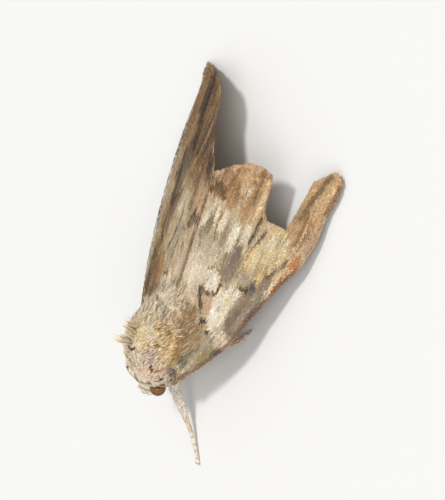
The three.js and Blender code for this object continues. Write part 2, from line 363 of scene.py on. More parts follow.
def wingPlan(along, across, side):
    # where a spot of the wing lies, from its share of the way out and of the way across
    x = blendTo(forewing["seam"], costaX(along, side), across)
    straight = blendTo(forewing["tornusY"], forewing["apexY"], across)
    front = blendTo(forewing["rootY"], forewing["costaRootY"], across)
    tailX = blendTo(forewing["seam"], forewing["apexX"], across)
    marginX, marginY = zip(*(wornMargin if side == left else wholeMargin))
    hind = np.interp(tailX, marginX, marginY) + forewing["fringe"]
    return x, blendTo(front, straight, along) + (hind - straight) * along ** 3


def wingHeight(x, y, along, across):
    return roofHeight(x, y) - forewing["sink"] + wingRelief(along, across)


veinPlaces = (0.1, 0.23, 0.35, 0.46, 0.57, 0.68, 0.8, 0.92)    # shares of the way across


def wingRelief(along, across):
    veins = sum(hump(across, vein, 0.012) for vein in veinPlaces)
    ripple = np.sin(across * 41 + 2 * along) * along ** 3
    return 0.045 * veins * smooth(0.15, 0.5, along) + 0.05 * ripple


# Colours of the wings and the coat, as they look on screen
shades = {
    "cream": tint(229, 210, 180), "bright": tint(243, 227, 200), "white": tint(248, 238, 220),
    "butter": tint(248, 227, 184), "rose": tint(232, 209, 184), "lilac": tint(190, 170, 158),
    "pink": tint(196, 168, 142), "sand": tint(208, 185, 148), "straw": tint(229, 204, 156),
    "yellow": tint(231, 199, 136), "peach": tint(219, 181, 136), "gold": tint(200, 164, 110),
    "tan": tint(184, 150, 108), "ochre": tint(184, 140, 92), "ember": tint(204, 136, 76),
    "rust": tint(160, 104, 64), "redBrown": tint(130, 86, 60), "brown": tint(143, 106, 66),
    "umber": tint(104, 77, 48), "dark": tint(68, 47, 30), "black": tint(46, 36, 31),
    "grey": tint(151, 130, 105), "stone": tint(182, 165, 138), "slate": tint(86, 84, 84),
    "teal": tint(92, 100, 88), "moss": tint(140, 128, 98), "olive": tint(164, 141, 96),
    "mauve": tint(126, 108, 100),
}
darkShades = ("umber", "dark", "black", "brown", "slate", "teal", "mauve")

# Brush strokes of the wing markings: colour, half width, softness, strength and the way they run.
# x is the distance from the ridge and y is forward, in millimetres.
leftStrokes = [
    # root
    ("tan", 1.2, 1.0, 0.6, [(1.6, 2.0), (1.6, -1.4)]),
    ("gold", 0.5, 0.5, 0.85, [(3.1, 5.0), (3.1, 1.0)]),
    ("yellow", 0.15, 0.3, 0.8, [(3.0, 4.0), (3.2, 3.0)]),
    ("stone", 0.8, 0.7, 0.9, [(4.6, 4.2), (5.0, 2.4), (5.6, 0.9)]),
    ("moss", 0.25, 0.3, 0.7, [(4.1, 4.4), (4.6, 2.8)]),
    ("teal", 0.18, 0.3, 0.6, [(4.0, 4.6), (4.4, 3.9)]),
    ("olive", 0.5, 0.6, 0.8, [(6.0, 3.2), (6.6, 1.6)]),
    ("teal", 0.25, 0.35, 0.85, [(7.0, 1.4), (7.5, 0.6)]),
    ("rust", 0.06, 0.14, 0.75, [(3.68, 4.2), (3.72, 2.0), (3.8, -0.4)]),
    ("tan", 0.6, 0.5, 0.8, [(4.6, 1.6), (4.7, -0.6)]),
    ("umber", 0.05, 0.12, 0.8, [(4.3, 0.8), (4.35, -0.8)]),
    ("brown", 0.4, 0.35, 0.85, [(3.2, -0.3), (3.25, -1.7)]),
    ("gold", 0.1, 0.2, 0.8, [(3.3, -0.2), (3.3, -1.4)]),
    ("dark", 0.2, 0.2, 0.95, [(4.25, -1.0), (4.95, -1.45)]),
    ("slate", 0.26, 0.2, 1.0, [(5.45, -0.3), (5.8, -0.35)]),
    ("teal", 0.2, 0.2, 0.95, [(6.4, 0.3), (6.5, -0.6)]),
    ("rose", 0.7, 0.6, 0.6, [(1.4, -2.4), (1.9, -3.0)]),
    ("grey", 0.1, 0.2, 0.9, [(0.2, -1.7), (0.8, -2.7), (1.3, -3.5), (1.9, -3.9), (2.5, -3.2)]),
    # middle
    ("cream", 1.5, 0.9, 0.95, [(1.4, -4.9), (1.8, -6.6), (2.2, -8.0)]),
    ("bright", 0.7, 0.6, 0.7, [(1.2, -4.6), (1.5, -5.6)]),
    ("stone", 1.0, 0.9, 0.6, [(1.6, -8.4), (3.0, -9.2)]),
    ("rose", 0.5, 0.5, 0.8, [(7.0, -0.4), (7.8, -1.0)]),
    ("bright", 0.95, 0.4, 1.0, [(6.0, -1.6), (5.8, -3.0), (5.9, -4.6)]),
    ("stone", 0.3, 0.4, 0.8, [(6.6, -1.2), (7.1, -1.8)]),
    ("bright", 0.95, 0.4, 1.0, [(6.2, -5.3), (6.9, -5.6)]),
    ("white", 0.4, 0.4, 0.8, [(5.6, -2.2), (5.5, -3.6)]),
    ("white", 0.4, 0.4, 0.8, [(6.2, -5.4), (6.8, -5.7)]),
    ("bright", 0.85, 0.25, 1.0, [(4.0, -5.3), (4.0, -6.0)]),
    ("white", 0.5, 0.4, 0.7, [(4.0, -5.4), (4.0, -5.9)]),
    ("yellow", 0.25, 0.5, 0.6, [(6.3, -5.0), (6.6, -5.4)]),
    ("peach", 0.4, 0.4, 0.8, [(4.4, -2.6), (4.2, -3.4)]),
    ("grey", 0.95, 0.7, 1.0, [(8.0, -2.4), (8.6, -5.4)]),
    ("mauve", 0.25, 0.4, 0.7, [(7.6, -2.8), (8.1, -4.2)]),
    ("stone", 0.16, 0.3, 0.7, [(8.3, -2.6), (9.0, -5.0)]),
    ("mauve", 0.3, 0.4, 0.7, [(9.2, -4.2), (9.8, -6.2)]),
    ("grey", 0.9, 0.6, 0.9, [(5.3, -7.6), (5.5, -9.4)]),
    ("mauve", 0.35, 0.5, 0.6, [(5.5, -8.4), (5.8, -9.8)]),
    ("grey", 0.9, 0.7, 0.9, [(8.4, -7.4), (9.3, -9.0)]),
    ("stone", 0.5, 0.6, 0.8, [(7.4, -7.4), (7.6, -8.6)]),
    ("umber", 0.2, 0.2, 0.95, [(4.0, -1.8), (3.6, -2.6), (3.3, -3.3), (3.0, -4.0)]),
    ("dark", 0.22, 0.25, 0.9, [(3.15, -3.4), (2.9, -4.3)]),
    ("umber", 0.13, 0.14, 0.95, [(3.2, -4.4), (4.0, -4.05), (4.7, -4.4), (5.0, -5.0), (5.1, -5.9)]),
    ("brown", 0.1, 0.16, 0.8, [(3.1, -6.6), (3.8, -7.0), (4.6, -6.9), (5.0, -6.3)]),
    ("olive", 0.1, 0.2, 0.7, [(5.7, -3.2), (5.9, -3.6)]),
    ("grey", 0.08, 0.2, 0.6, [(5.5, -5.2), (6.0, -6.4)]),
    ("umber", 0.18, 0.25, 0.9, [(7.3, -6.8), (8.1, -6.6)]),
    ("dark", 0.14, 0.2, 0.8, [(7.9, -6.5), (8.1, -6.7)]),
    ("mauve", 0.3, 0.3, 0.95, [(8.5, -7.1), (8.7, -7.8)]),
    ("slate", 0.12, 0.2, 0.7, [(8.5, -7.2), (8.6, -7.5)]),
    ("umber", 0.16, 0.3, 0.8, [(9.6, -9.3), (10.0, -10.2), (10.8, -11.6)]),
    ("teal", 0.2, 0.3, 0.6, [(9.4, -6.4), (9.7, -7.4)]),
    # bands and teeth toward the margin
    ("straw", 0.4, 0.4, 0.9, [(7.7, -9.2), (7.9, -11.8)]),
    ("yellow", 0.25, 0.3, 0.9, [(8.6, -8.3), (8.9, -9.4)]),
    ("butter", 0.14, 0.2, 0.8, [(7.5, -9.8), (7.6, -11.0)]),
    ("yellow", 0.16, 0.2, 0.9, [(7.0, -8.8), (7.15, -11.4)]),
    ("rust", 0.06, 0.1, 0.95, [(6.6, -7.4), (6.8, -9.0), (7.0, -11.0), (7.3, -12.0)]),
    ("olive", 0.07, 0.15, 0.7, [(8.25, -9.6), (8.3, -11.6)]),
    ("brown", 0.08, 0.16, 0.7, [(9.3, -9.8), (9.5, -11.6)]),
    ("moss", 0.45, 0.4, 0.8, [(1.0, -9.4), (1.6, -11.4)]),
    ("bright", 0.2, 0.25, 0.9, [(0.4, -9.8), (0.9, -11.8), (1.3, -13.2)]),
    ("bright", 0.26, 0.2, 0.95, [(2.9, -10.6), (3.15, -12.9)]),
    ("grey", 0.26, 0.3, 0.85, [(3.6, -9.8), (3.7, -11.6)]),
    ("bright", 0.4, 0.2, 0.95, [(4.5, -9.8), (4.65, -12.6)]),
    ("white", 0.18, 0.2, 0.8, [(4.6, -10.8), (4.7, -12.2)]),
    ("umber", 0.1, 0.2, 0.7, [(5.25, -10.4), (5.2, -11.4)]),
    ("bright", 0.3, 0.2, 0.9, [(5.8, -11.0), (5.9, -13.2)]),
    ("brown", 0.06, 0.12, 0.9, [(2.65, -9.4), (2.35, -11.2), (2.5, -12.6)]),
    ("bright", 0.2, 0.2, 0.8, [(2.0, -11.4), (1.9, -13.0)]),
    ("straw", 0.9, 0.6, 0.8, [(9.4, -11.0), (9.2, -14.0)]),
    ("bright", 0.3, 0.4, 0.7, [(8.6, -12.4), (9.0, -13.2)]),
    ("bright", 0.2, 0.3, 0.6, [(9.9, -12.8), (10.2, -14.0)]),
    ("olive", 0.14, 0.3, 0.6, [(9.4, -12.0), (9.6, -13.8)]),
    ("tan", 0.9, 0.7, 0.9, [(0.4, -14.9), (2.8, -15.6), (6.2, -16.0)]),
    ("brown", 0.5, 0.5, 0.95, [(0.4, -14.4), (1.9, -14.4)]),
    ("umber", 0.3, 0.4, 0.8, [(0.6, -14.6), (1.5, -15.2), (2.0, -14.2)]),
    ("ochre", 0.3, 0.35, 0.8, [(3.0, -13.6), (3.0, -16.4)]),
    ("ochre", 0.24, 0.4, 0.8, [(5.0, -12.8), (5.05, -14.6)]),
    ("ochre", 0.3, 0.3, 0.7, [(4.9, -14.4), (5.0, -15.6)]),
    ("brown", 0.2, 0.3, 0.8, [(3.5, -14.2), (3.5, -15.8)]),
    ("rust", 0.4, 0.6, 0.4, [(1.6, -16.2), (2.6, -17.6), (3.4, -18.4)]),
    ("brown", 0.16, 0.3, 0.8, [(2.3, -15.4), (2.7, -17.6)]),
    ("peach", 0.3, 0.3, 0.9, [(4.0, -15.6), (4.1, -18.6)]),
    ("bright", 0.12, 0.2, 0.8, [(4.6, -15.2), (4.7, -16.6)]),
    ("peach", 0.26, 0.25, 0.95, [(6.25, -14.2), (6.3, -18.8)]),
    ("bright", 0.1, 0.2, 0.7, [(6.2, -14.8), (6.3, -16.8)]),
    ("brown", 0.16, 0.25, 0.85, [(5.5, -15.6), (5.5, -19.0)]),
    ("rust", 0.1, 0.15, 0.9, [(4.7, -17.4), (5.0, -17.9)]),
    ("brown", 0.2, 0.3, 0.7, [(4.6, -18.4), (6.4, -18.9)]),
    ("rose", 0.1, 0.12, 0.6, [(3.4, -18.3), (3.45, -18.5)]),
    ("rose", 0.1, 0.12, 0.6, [(4.65, -18.6), (4.7, -18.8)]),
    ("rose", 0.1, 0.12, 0.6, [(2.3, -17.6), (2.4, -17.8)]),
    ("dark", 0.14, 0.16, 0.97, [(6.5, -11.4), (6.65, -12.8), (6.85, -14.4)]),
    ("umber", 0.14, 0.2, 0.9, [(7.4, -11.9), (7.8, -13.4)]),
    ("pink", 0.26, 0.3, 0.85, [(0.7, -16.1), (1.4, -17.0)]),
    ("redBrown", 0.1, 0.16, 0.9, [(0.1, -15.6), (1.1, -15.8), (1.7, -17.2)]),
    # leading edge and tip
    ("rose", 0.26, 0.25, 0.9, [(10.1, -7.2), (10.6, -9.4)]),
    ("ember", 0.1, 0.14, 0.9, [(10.55, -8.0), (11.2, -10.4), (11.6, -11.6)]),
    ("ember", 0.3, 0.2, 0.95, [(11.4, -11.2), (11.7, -12.3)]),
    ("peach", 0.3, 0.3, 0.7, [(10.7, -12.0), (10.9, -13.4)]),
    ("peach", 0.5, 0.5, 0.85, [(11.5, -13.6), (11.9, -17.4), (12.4, -20.5)]),
    ("pink", 0.22, 0.3, 0.8, [(12.1, -13.4), (12.2, -16.0)]),
    ("brown", 0.14, 0.25, 0.8, [(11.0, -13.8), (11.1, -17.4)]),
    ("umber", 0.2, 0.3, 0.7, [(10.5, -16.5), (11.0, -19.5), (11.7, -22.0)]),
    ("brown", 0.16, 0.3, 0.7, [(12.5, -18.0), (12.8, -21.5)]),
    ("rust", 0.1, 0.2, 0.6, [(11.6, -14.0), (12.0, -18.0)]),
]
rightStrokes = [
    ("bright", 1.2, 0.5, 0.97, [(1.9, 1.0), (1.9, -1.7)]),
    ("white", 0.7, 0.5, 0.7, [(1.6, 0.0), (1.9, -1.4)]),
    ("sand", 1.6, 1.0, 0.85, [(1.3, -4.0), (1.3, -8.0)]),
    ("rose", 0.4, 0.5, 0.7, [(1.1, -3.4), (1.3, -6.0)]),
    ("moss", 0.2, 0.3, 0.6, [(1.4, -5.8), (1.6, -6.8)]),
    ("brown", 1.6, 0.8, 0.95, [(5.4, 2.4), (5.8, -1.0), (6.4, -3.0)]),
    ("ochre", 0.5, 0.5, 0.8, [(4.2, -0.4), (4.6, -2.6)]),
    ("umber", 0.55, 0.5, 0.9, [(6.4, 1.8), (6.8, -0.8), (7.1, -2.4)]),
    ("dark", 0.2, 0.3, 0.8, [(6.4, 1.0), (6.6, -0.6)]),
    ("gold", 0.25, 0.4, 0.8, [(6.2, -2.6), (6.4, -3.6)]),
    ("black", 0.26, 0.2, 1.0, [(6.3, -4.3), (7.1, -4.6)]),
    ("umber", 0.22, 0.3, 0.9, [(2.9, -2.5), (3.5, -2.3)]),
    ("ochre", 0.2, 0.3, 0.7, [(3.7, -3.0), (4.6, -2.8)]),
    ("stone", 0.5, 0.35, 0.8, [(3.7, -4.2), (3.4, -8.0)]),
    ("sand", 0.7, 0.5, 0.8, [(5.6, -4.4), (5.2, -8.6)]),
    ("umber", 0.07, 0.13, 0.9, [(3.1, -3.6), (3.0, -6.8)]),
    ("dark", 0.1, 0.16, 0.85, [(4.7, -4.2), (4.2, -7.0), (3.8, -9.2)]),
    ("umber", 0.16, 0.2, 0.85, [(2.2, -7.9), (2.7, -8.0)]),
    ("cream", 0.5, 0.45, 0.85, [(5.0, -9.0), (4.5, -11.0)]),
    ("brown", 0.5, 0.5, 0.9, [(6.7, -5.4), (6.8, -8.0), (6.4, -10.0)]),
    ("ochre", 0.4, 0.35, 0.9, [(8.2, -5.0), (8.3, -7.4)]),
    ("umber", 0.3, 0.3, 0.85, [(7.5, -5.2), (7.5, -8.2)]),
    ("umber", 0.45, 0.4, 0.95, [(1.7, -8.8), (1.2, -10.6)]),
    ("dark", 0.25, 0.3, 0.85, [(0.3, -9.6), (0.2, -10.8)]),
    ("rust", 0.2, 0.3, 0.8, [(0.1, -7.6), (0.2, -9.0)]),
    ("peach", 0.75, 0.5, 0.95, [(0.8, -11.8), (1.0, -13.2)]),
    ("brown", 0.5, 0.5, 0.85, [(2.6, -10.0), (2.6, -12.6)]),
    ("brown", 2.4, 1.4, 0.95, [(4.6, -14.6), (4.6, -18.0), (7.0, -20.0)]),
    ("tan", 0.4, 0.5, 0.8, [(3.6, -11.8), (5.4, -12.0)]),
    ("gold", 0.14, 0.25, 0.8, [(4.7, -12.3), (3.5, -14.0)]),
    ("gold", 0.14, 0.25, 0.8, [(5.6, -13.0), (4.9, -16.6)]),
    ("gold", 0.12, 0.25, 0.7, [(6.2, -16.0), (5.8, -20.5)]),
    ("dark", 0.14, 0.25, 0.8, [(5.3, -15.0), (4.8, -20.0)]),
    ("umber", 0.3, 0.3, 0.9, [(3.9, -15.4), (3.4, -18.6)]),
    ("tan", 0.2, 0.3, 0.8, [(4.4, -17.0), (4.0, -20.4)]),
    ("dark", 0.8, 0.6, 0.95, [(7.6, -8.8), (7.5, -12.0), (7.4, -15.2)]),
    ("dark", 0.45, 0.4, 0.95, [(8.8, -10.4), (9.1, -13.8)]),
    ("brown", 0.12, 0.25, 0.8, [(7.2, -9.6), (7.0, -13.8)]),
    ("umber", 0.12, 0.2, 0.8, [(8.2, -9.0), (8.2, -13.4)]),
    ("gold", 0.5, 0.5, 0.9, [(9.4, -14.8), (9.8, -16.6)]),
    ("dark", 0.6, 0.5, 0.93, [(7.0, -15.2), (7.4, -17.8)]),
    ("dark", 1.0, 0.6, 0.97, [(8.4, -18.6), (8.7, -22.0)]),
    ("umber", 0.14, 0.25, 0.8, [(8.0, -17.8), (8.2, -22.0)]),
    ("brown", 0.1, 0.2, 0.85, [(8.9, -18.0), (9.2, -22.0)]),
    ("black", 0.16, 0.25, 0.8, [(7.7, -18.8), (7.9, -21.6)]),
    ("ochre", 0.8, 0.4, 0.95, [(10.8, -17.0), (11.2, -18.8), (11.6, -21.0)]),
    ("gold", 0.2, 0.3, 0.8, [(11.0, -17.8), (11.4, -20.4)]),
    ("dark", 0.6, 0.6, 0.85, [(1.0, -15.0), (1.6, -16.4)]),
    ("sand", 0.4, 0.4, 0.8, [(1.5, -17.5), (2.0, -18.2)]),
    ("umber", 0.5, 0.5, 0.8, [(3.0, -18.4), (3.6, -20.4)]),
    ("redBrown", 0.4, 0.6, 0.6, [(6.2, -20.6), (7.0, -22.2)]),
]

warpAcross, warpAlong, mottle, streaks = Grain(11), Grain(12), Grain(13), Grain(14)


def washed(ground, colour, share):
    # the ground with a share of another colour over it
    over = shades[colour] if isinstance(colour, str) else colour
    return blendTo(ground, over, np.asarray(share)[..., None])


def softEdged(gap, halfWidth, softness):
    return 1 - smooth(halfWidth - 0.3 * softness, halfWidth + 0.7 * softness, gap)


def strokeShare(x, y, halfWidth, softness, way):
    # how far each spot lies in a stroke, from 0 to 1
    nearest = np.full(x.shape, 1e9)
    for (x0, y0), (x1, y1) in zip(way, way[1:]):
        dx, dy = x1 - x0, y1 - y0
        t = np.clip(((x - x0) * dx + (y - y0) * dy) / (dx * dx + dy * dy), 0, 1)
        nearest = np.minimum(nearest, np.hypot(x - x0 - t * dx, y - y0 - t * dy))
    return softEdged(nearest, halfWidth, softness)


def strokesOver(x, y, lineX, side):
    # the ground colours with every stroke over them, all a little ragged
    wx = x + 0.14 * warpAcross.rough(x * 2.2, y * 0.8)
    wy = y + 0.5 * warpAlong.rough(lineX * 26 + 40, y * 0.5) + 0.6 * warpAlong.at(lineX * 75, y * 0.4)
    ground = np.empty(x.shape + (3,))
    ground[:] = shades["sand"]
    outer = smooth(-12.8, -14.6, wy + 0.9 * np.sin(wx * 3.4))
    ground = washed(ground, shades["tan"] * (1.25 if side == left else 1), outer)
    for name, halfWidth, softness, strength, way in leftStrokes if side == left else rightStrokes:
        isDark = name in darkShades
        ragged = 0.45 if isDark and halfWidth < 0.3 else 1
        spotX, spotY = blendTo(x, wx, ragged), blendTo(y, wy, ragged)
        share = strokeShare(spotX, spotY, halfWidth, softness, way) * strength
        if side == right and isDark and halfWidth > 0.4:
            share = share * (0.55 + 0.45 * smooth(-0.35, 0.1, streaks.rough(lineX * 42, y * 0.22 + 50)))
        ground = washed(ground, name, share)
    return ground


def veinsOver(ground, lineX, y):
    for vein in veinPlaces:
        gap = np.abs(lineX - vein - 0.012 * warpAlong.rough(y * 0.5, vein * 40 + 0 * y))
        shown = smooth(-0.25, 0.35, mottle.rough(y * 0.45, vein * 90 + 0 * y)) * smooth(3, 0, y)
        ground = washed(ground, "bright", 0.28 * hump(gap, 0, 0.022) * shown * smooth(-15.5, -13, y))
        ground = washed(ground, "umber", 0.6 * (1 - smooth(0.003, 0.009, gap)) * shown)
    return ground


def edgeOver(ground, x, y, edge, side):
    # a red-brown rim on the left wing, and on the right a painted sheen of glinting specks; edge is the way
    # to the leading edge
    if side == left:
        ground = washed(ground, "redBrown", 0.7 * (1 - smooth(0.1, 0.34, edge)) * smooth(-12.5, -11, y))
        return washed(ground, "slate", 0.6 * strokeShare(x, y, 0.25, 0.3, [(7.2, 1.2), (7.5, 0.6)]))
    # painted sheen: a lilac strip with white and black specks, the glint of the scales along the right
    # leading edge
    paintedSheen = 0.9 * (1 - smooth(0.5, 1.1, edge)) * smooth(-19, -14.5, y) * smooth(0.8, -4, y)
    speck = streaks.rough(x * 6, y * 4)
    ground = washed(ground, shades["lilac"] * 0.8, paintedSheen)
    ground = washed(ground, "white", paintedSheen * smooth(0, 0.25, speck))
    return washed(ground, "black", 0.85 * paintedSheen * smooth(-0.05, -0.3, speck))


def wingColour(x, y, side):
    # the markings at a spot of a forewing
    along = (forewing["costaRootY"] - y) / (forewing["costaRootY"] - forewing["apexY"])
    span = costaX(np.clip(along, 0, 1), side)
    lineX = x / np.maximum(span, 1)
    edge = span - x
    ground = edgeOver(veinsOver(strokesOver(x, y, lineX, side), lineX, y), x, y, edge, side)
    whole = smooth(-0.6, -1.5, y) * smooth(-9.5, -8.5, y)
    broken = blendTo(smooth(-0.1, 0.3, mottle.rough(9 + 0 * y, y * 1.2)), 1, whole)
    ridgeLine = (1 - smooth(0.08, 0.26, x)) * smooth(0, -1, y) * broken
    ground = washed(ground, "redBrown", 0.75 * ridgeLine)
    if side == right:
        # painted shade: the right wing is darker toward its tail and its leading edge
        ground = ground * blendTo(0.97, 0.76, smooth(-9, -15, y))[..., None]
        shadedOuterHalf = smooth(4.5, 6.8, x) * smooth(0.3, 0.9, edge)
        ground = ground * blendTo(1, np.array((0.82, 0.79, 0.72)), shadedOuterHalf[..., None])
    harsh = 1 if side == left else 1.5
    fine = harsh * (streaks.rough(lineX * 70, y * 0.8 + 9) * 0.2 + mottle.rough(x * 2.5, y * 1.6) * 0.13)
    return np.clip(ground * (1 + fine[..., None]), 0, 1)


def foldedSheet(name, columns, rows, shape):
    # a plain grid folded along the leading edge: shape(along, across, under) gives the places
    deselectAll()
    bpy.ops.mesh.primitive_grid_add(x_subdivisions=2 * columns, y_subdivisions=rows, size=2)
    piece = bpy.context.object
    piece.name = name
    piece.data.uv_layers[0].name = "OFBake"
    flat = verticesOf(piece)
    fold = flat[:, 0] + 1        # 0 at the ridge above, 1 at the leading edge, 2 at the ridge below
    along = (1 - flat[:, 1]) / 2
    under = fold > 1 + 1e-6
    across = np.where(under, 2 - fold, fold)
    points, colours = shape(along, across, under)
    moveVertices(piece, world(points))
    paintOn(piece, colours)
    bpy.ops.object.mode_set(mode="EDIT")
    bpy.ops.mesh.select_all(action="SELECT")
    bpy.ops.mesh.remove_doubles(threshold=0.004 * mm)
    bpy.ops.mesh.normals_make_consistent(inside=False)
    bpy.ops.object.mode_set(mode="OBJECT")
    return piece


def wingPaint(name):
    paint = Paint(name, 0.62)
    place = paint.objectPlace()
    # single scales: a fine speckle along the wing, lighter and darker
    speck = paint.speckle(place, (5200, 2600, 5200))
    broad = paint.speckle(place, (900, 260, 900), 3.0)
    level = 0.62 + 0.5 * speck + 0.26 * broad
    paint.into("Base Color", paint.scaled(paint.attribute("coat"), level))
    paint.into("Roughness", 0.5 + 0.3 * speck)
    paint.bump(speck + 0.5 * broad, 0.00006, 0.8)
    return paint.material


def makeForewing(sideName):
    side = sides[sideName]

    def shape(along, across, under):
        x, y = wingPlan(along, across, side)
        span = costaX(along, side)
        x = np.minimum(x, span - forewing["inner"])
        fromTail = np.minimum(along, 1 - along) * forewing["length"]
        nearEdge = np.minimum(np.minimum(across, 1 - across) * span, fromTail)
        thick = forewing["thickness"] * np.sqrt(np.clip(nearEdge / forewing["edge"], 0, 1))
        top = wingHeight(x, y, along, across) - 0.06 * (1 - smooth(0, 0.5, nearEdge))
        points = np.stack([side * x, y, np.where(under, top - thick, top)], -1)
        colours = wingColour(x, y, side)
        plain = blendTo(shades["tan"], shades["grey"], across[:, None])
        return points, np.where(under[:, None], 0.8 * plain, colours)

    piece = foldedSheet(f"forewing_skin_{sideName}", forewing["columns"], forewing["rows"], shape)
    finish(piece, wingPaint(f"wing_scale_{sideName}"), [f"forewing_{sideName}"])


# ---- tufts and scales

def meshOf(name, points, faces, placeMap, colours):
    # a piece from arrays: corner points in the moth's millimetres, three-cornered faces, map places
    data = bpy.data.meshes.new(name)
    data.vertices.add(len(points))
    data.vertices.foreach_set("co", world(points).ravel())
    data.loops.add(faces.size)
    data.loops.foreach_set("vertex_index", faces.ravel())
    data.polygons.add(len(faces))
    data.polygons.foreach_set("loop_start", np.arange(0, faces.size, 3))
    data.update(calc_edges=True)
    piece = bpy.data.objects.new(name, data)
    bpy.context.scene.collection.objects.link(piece)
    layer = data.uv_layers.new(name="OFBake")
    layer.data.foreach_set("uv", placeMap[faces.ravel()].ravel())
    paintOn(piece, colours)
    return piece


hair = {"rings": ((0.0, 0.7), (0.4, 1.0), (0.75, 0.7)), "depth": 0.2, "tuck": 0.06, "patch": 0.003}
scale = {"rings": ((0.0, 0.55), (0.75, 1.0)), "depth": 0.12, "tuck": 0.03, "patch": 0.003}


def tufts(name, shape, roots, normals, lie, lengths, widths, lifts, rootTint, tipTint, places, droop=0.25):
    # closed three-sided blades that taper to a tip; shape has the rings along one, each with its width,
    # its thickness over its width, how deep its root sits and its patch on the skin's map
    across = unit(np.cross(normals, lie))
    count = len(roots)
    rise, run = np.sin(lifts)[:, None], np.cos(lifts)[:, None]
    rings, mapRings, tintRings = [], [], []
    for share, width in shape["rings"]:
        climb = rise * share - droop * rise * share ** 2
        sunk = normals * shape["tuck"] * (1 - share)
        centre = roots + lengths[:, None] * (lie * run * share + normals * climb) - sunk
        half = (widths * width / 2)[:, None]
        for along, up in ((-1, 0), (1, 0), (0, 2 * shape["depth"])):
            rings.append(centre + across * half * along + normals * half * up)
            offset = np.array([0.5 + 0.5 * along * width, share]) * shape["patch"]
            mapRings.append(places + offset)
            tintRings.append(blendTo(rootTint, tipTint, share))
    rings.append(roots + lengths[:, None] * (lie * run + normals * rise * (1 - droop)))
    mapRings.append(places + np.array([0.5, 1.0]) * shape["patch"])
    tintRings.append(tipTint)
    points = np.stack(rings, 1).reshape(-1, 3)
    places = np.stack(mapRings, 1).reshape(-1, 2)
    colours = np.stack(tintRings, 1).reshape(-1, 3)
    tip = 3 * len(shape["rings"])
    corners = [(0, 2, 1)]
    for ring in range(0, tip - 3, 3):
        for a, b in ((0, 1), (1, 2), (2, 0)):
            corners += [(ring + a, ring + b, ring + b + 3), (ring + a, ring + b + 3, ring + a + 3)]
    corners += [(tip - 3 + a, tip - 3 + b, tip) for a, b in ((0, 1), (1, 2), (2, 0))]
    faces = (np.arange(count) * (tip + 1))[:, None, None] + np.array(corners)[None]
    return meshOf(name, points, faces.reshape(-1, 3), places, colours)


# ---- coat of the wings

def wingTop(along, across, side):
    x, y = wingPlan(along, across, side)
    return np.stack([side * x, y, wingHeight(x, y, along, across)], -1)


scaleLift = 0.86   # scales shade each other, so each is a little paler than its marking
scaleStep = 0.004  # share of the wing over which its slope is told


def layScales(name, side, along, across, chance, ranges, contrast=0.1, splay=0.0, shape=scale):
    # scales lie toward the tail, along the veins; ranges has the least and the spread of their length,
    # width and lift in degrees
    count = len(along)
    lengths, widths, lifts = (least + spread * chance.rand(count) for least, spread in ranges)
    roots = wingTop(along, across, side)
    tailward = unit(wingTop(along + scaleStep, across, side) - roots)
    inner = np.minimum(across, 1 - scaleStep)
    outward = unit(wingTop(along, inner + scaleStep, side) - wingTop(along, inner, side))
    normals = unit(np.cross(outward, tailward))
    normals *= np.sign(normals[:, 2:])
    away = np.where(across > 0.5, 1, -1)[:, None] * splay
    lie = unit(tailward + outward * (chance.normal(size=count)[:, None] * 0.16 + away))
    jitter = chance.normal(size=(2, count)) * 0.045
    shown = roots + tailward * (0.75 * lengths)[:, None]
    colours = wingColour(np.abs(shown[:, 0]) + jitter[0], shown[:, 1] + 2.5 * jitter[1], side)
    colours = colours * (1 + contrast * chance.normal(size=count))[:, None].clip(0.5, 1.5)
    colours = held(colours * scaleLift)
    places = np.stack([across * 0.5, 1 - along], -1)
    # painted shade: each scale's root is a little darker than its tip, where the scales shade each other
    piece = tufts(name, shape, roots, normals, lie, lengths, widths, np.radians(lifts), colours * 0.85,
                  colours, places, 0.4)
    finish(piece, scalePaint(name), smoothShade=False)
    print("stage:", name, count, "scales")


def tuftPaint(name, roughness, fineness):
    paint = Paint(name, roughness)
    speck = paint.speckle(paint.objectPlace(), fineness)
    paint.into("Base Color", paint.scaled(paint.attribute("coat"), 0.8 + 0.4 * speck))
    return paint.material


def scalePaint(name):
    return tuftPaint(name, 0.55, (9000, 5000, 9000))


def furPaint(name, roughness=0.7):
    return tuftPaint(name, roughness, (7000, 4000, 7000))


def evenAlong(chance, count):
    # places along the wing, as many to each square millimetre
    marks = np.linspace(0, 1, 200)
    total = np.cumsum(costaX(marks, right))
    return np.interp(chance.rand(count) * total[-1], total, marks)


# how many scales and hairs a wing has, and where along it the margin's scales begin
wingCoat = {"scales": 15000, "fringe": 2600, "edges": 1500, "hair": {left: 1100, right: 800}, "tail": 0.985}


def makeWingCoat(sideName, seed):
    side = sides[sideName]
    chance = np.random.RandomState(seed)

    def lay(kind, along, across, *ranges, **others):
        layScales(f"wing_{kind}_{sideName}", side, along, across, chance, ranges, **others)

    count, tail = wingCoat["scales"], wingCoat["tail"]
    along, across = evenAlong(chance, count), chance.rand(count)
    lay("coat", along * tail, 0.004 + across * 0.992, (0.45, 0.15), (0.13, 0.06), (4, 5))
    count = wingCoat["fringe"]
    across = chance.rand(count)
    lay("fringe", tail + 0.013 * chance.rand(count), across, (0.42, 0.25), (0.1, 0.04), (-2, 5))
    count = wingCoat["edges"]
    along = chance.rand(count) * 0.98
    across = np.where(chance.rand(count) < 0.4, 0.001, 0.997)
    lay("edges", along, across, (0.35, 0.2), (0.09, 0.04), (4, 6), splay=0.45)
    count = wingCoat["hair"][side]
    out = chance.rand(count)
    along = 0.02 + 0.26 * chance.rand(count) * (1 - 0.5 * out)
    lay("hair", along, 0.02 + 0.75 * out, (0.8, 0.7), (0.09, 0.04), (5, 9), contrast=0.3, shape=hair)


for number, sideName in enumerate(sides):
    makeForewing(sideName)
    makeWingCoat(sideName, 51 + number)
print("stage: forewings")


# ---- body: one skin for the head, thorax, abdomen, palps and legs

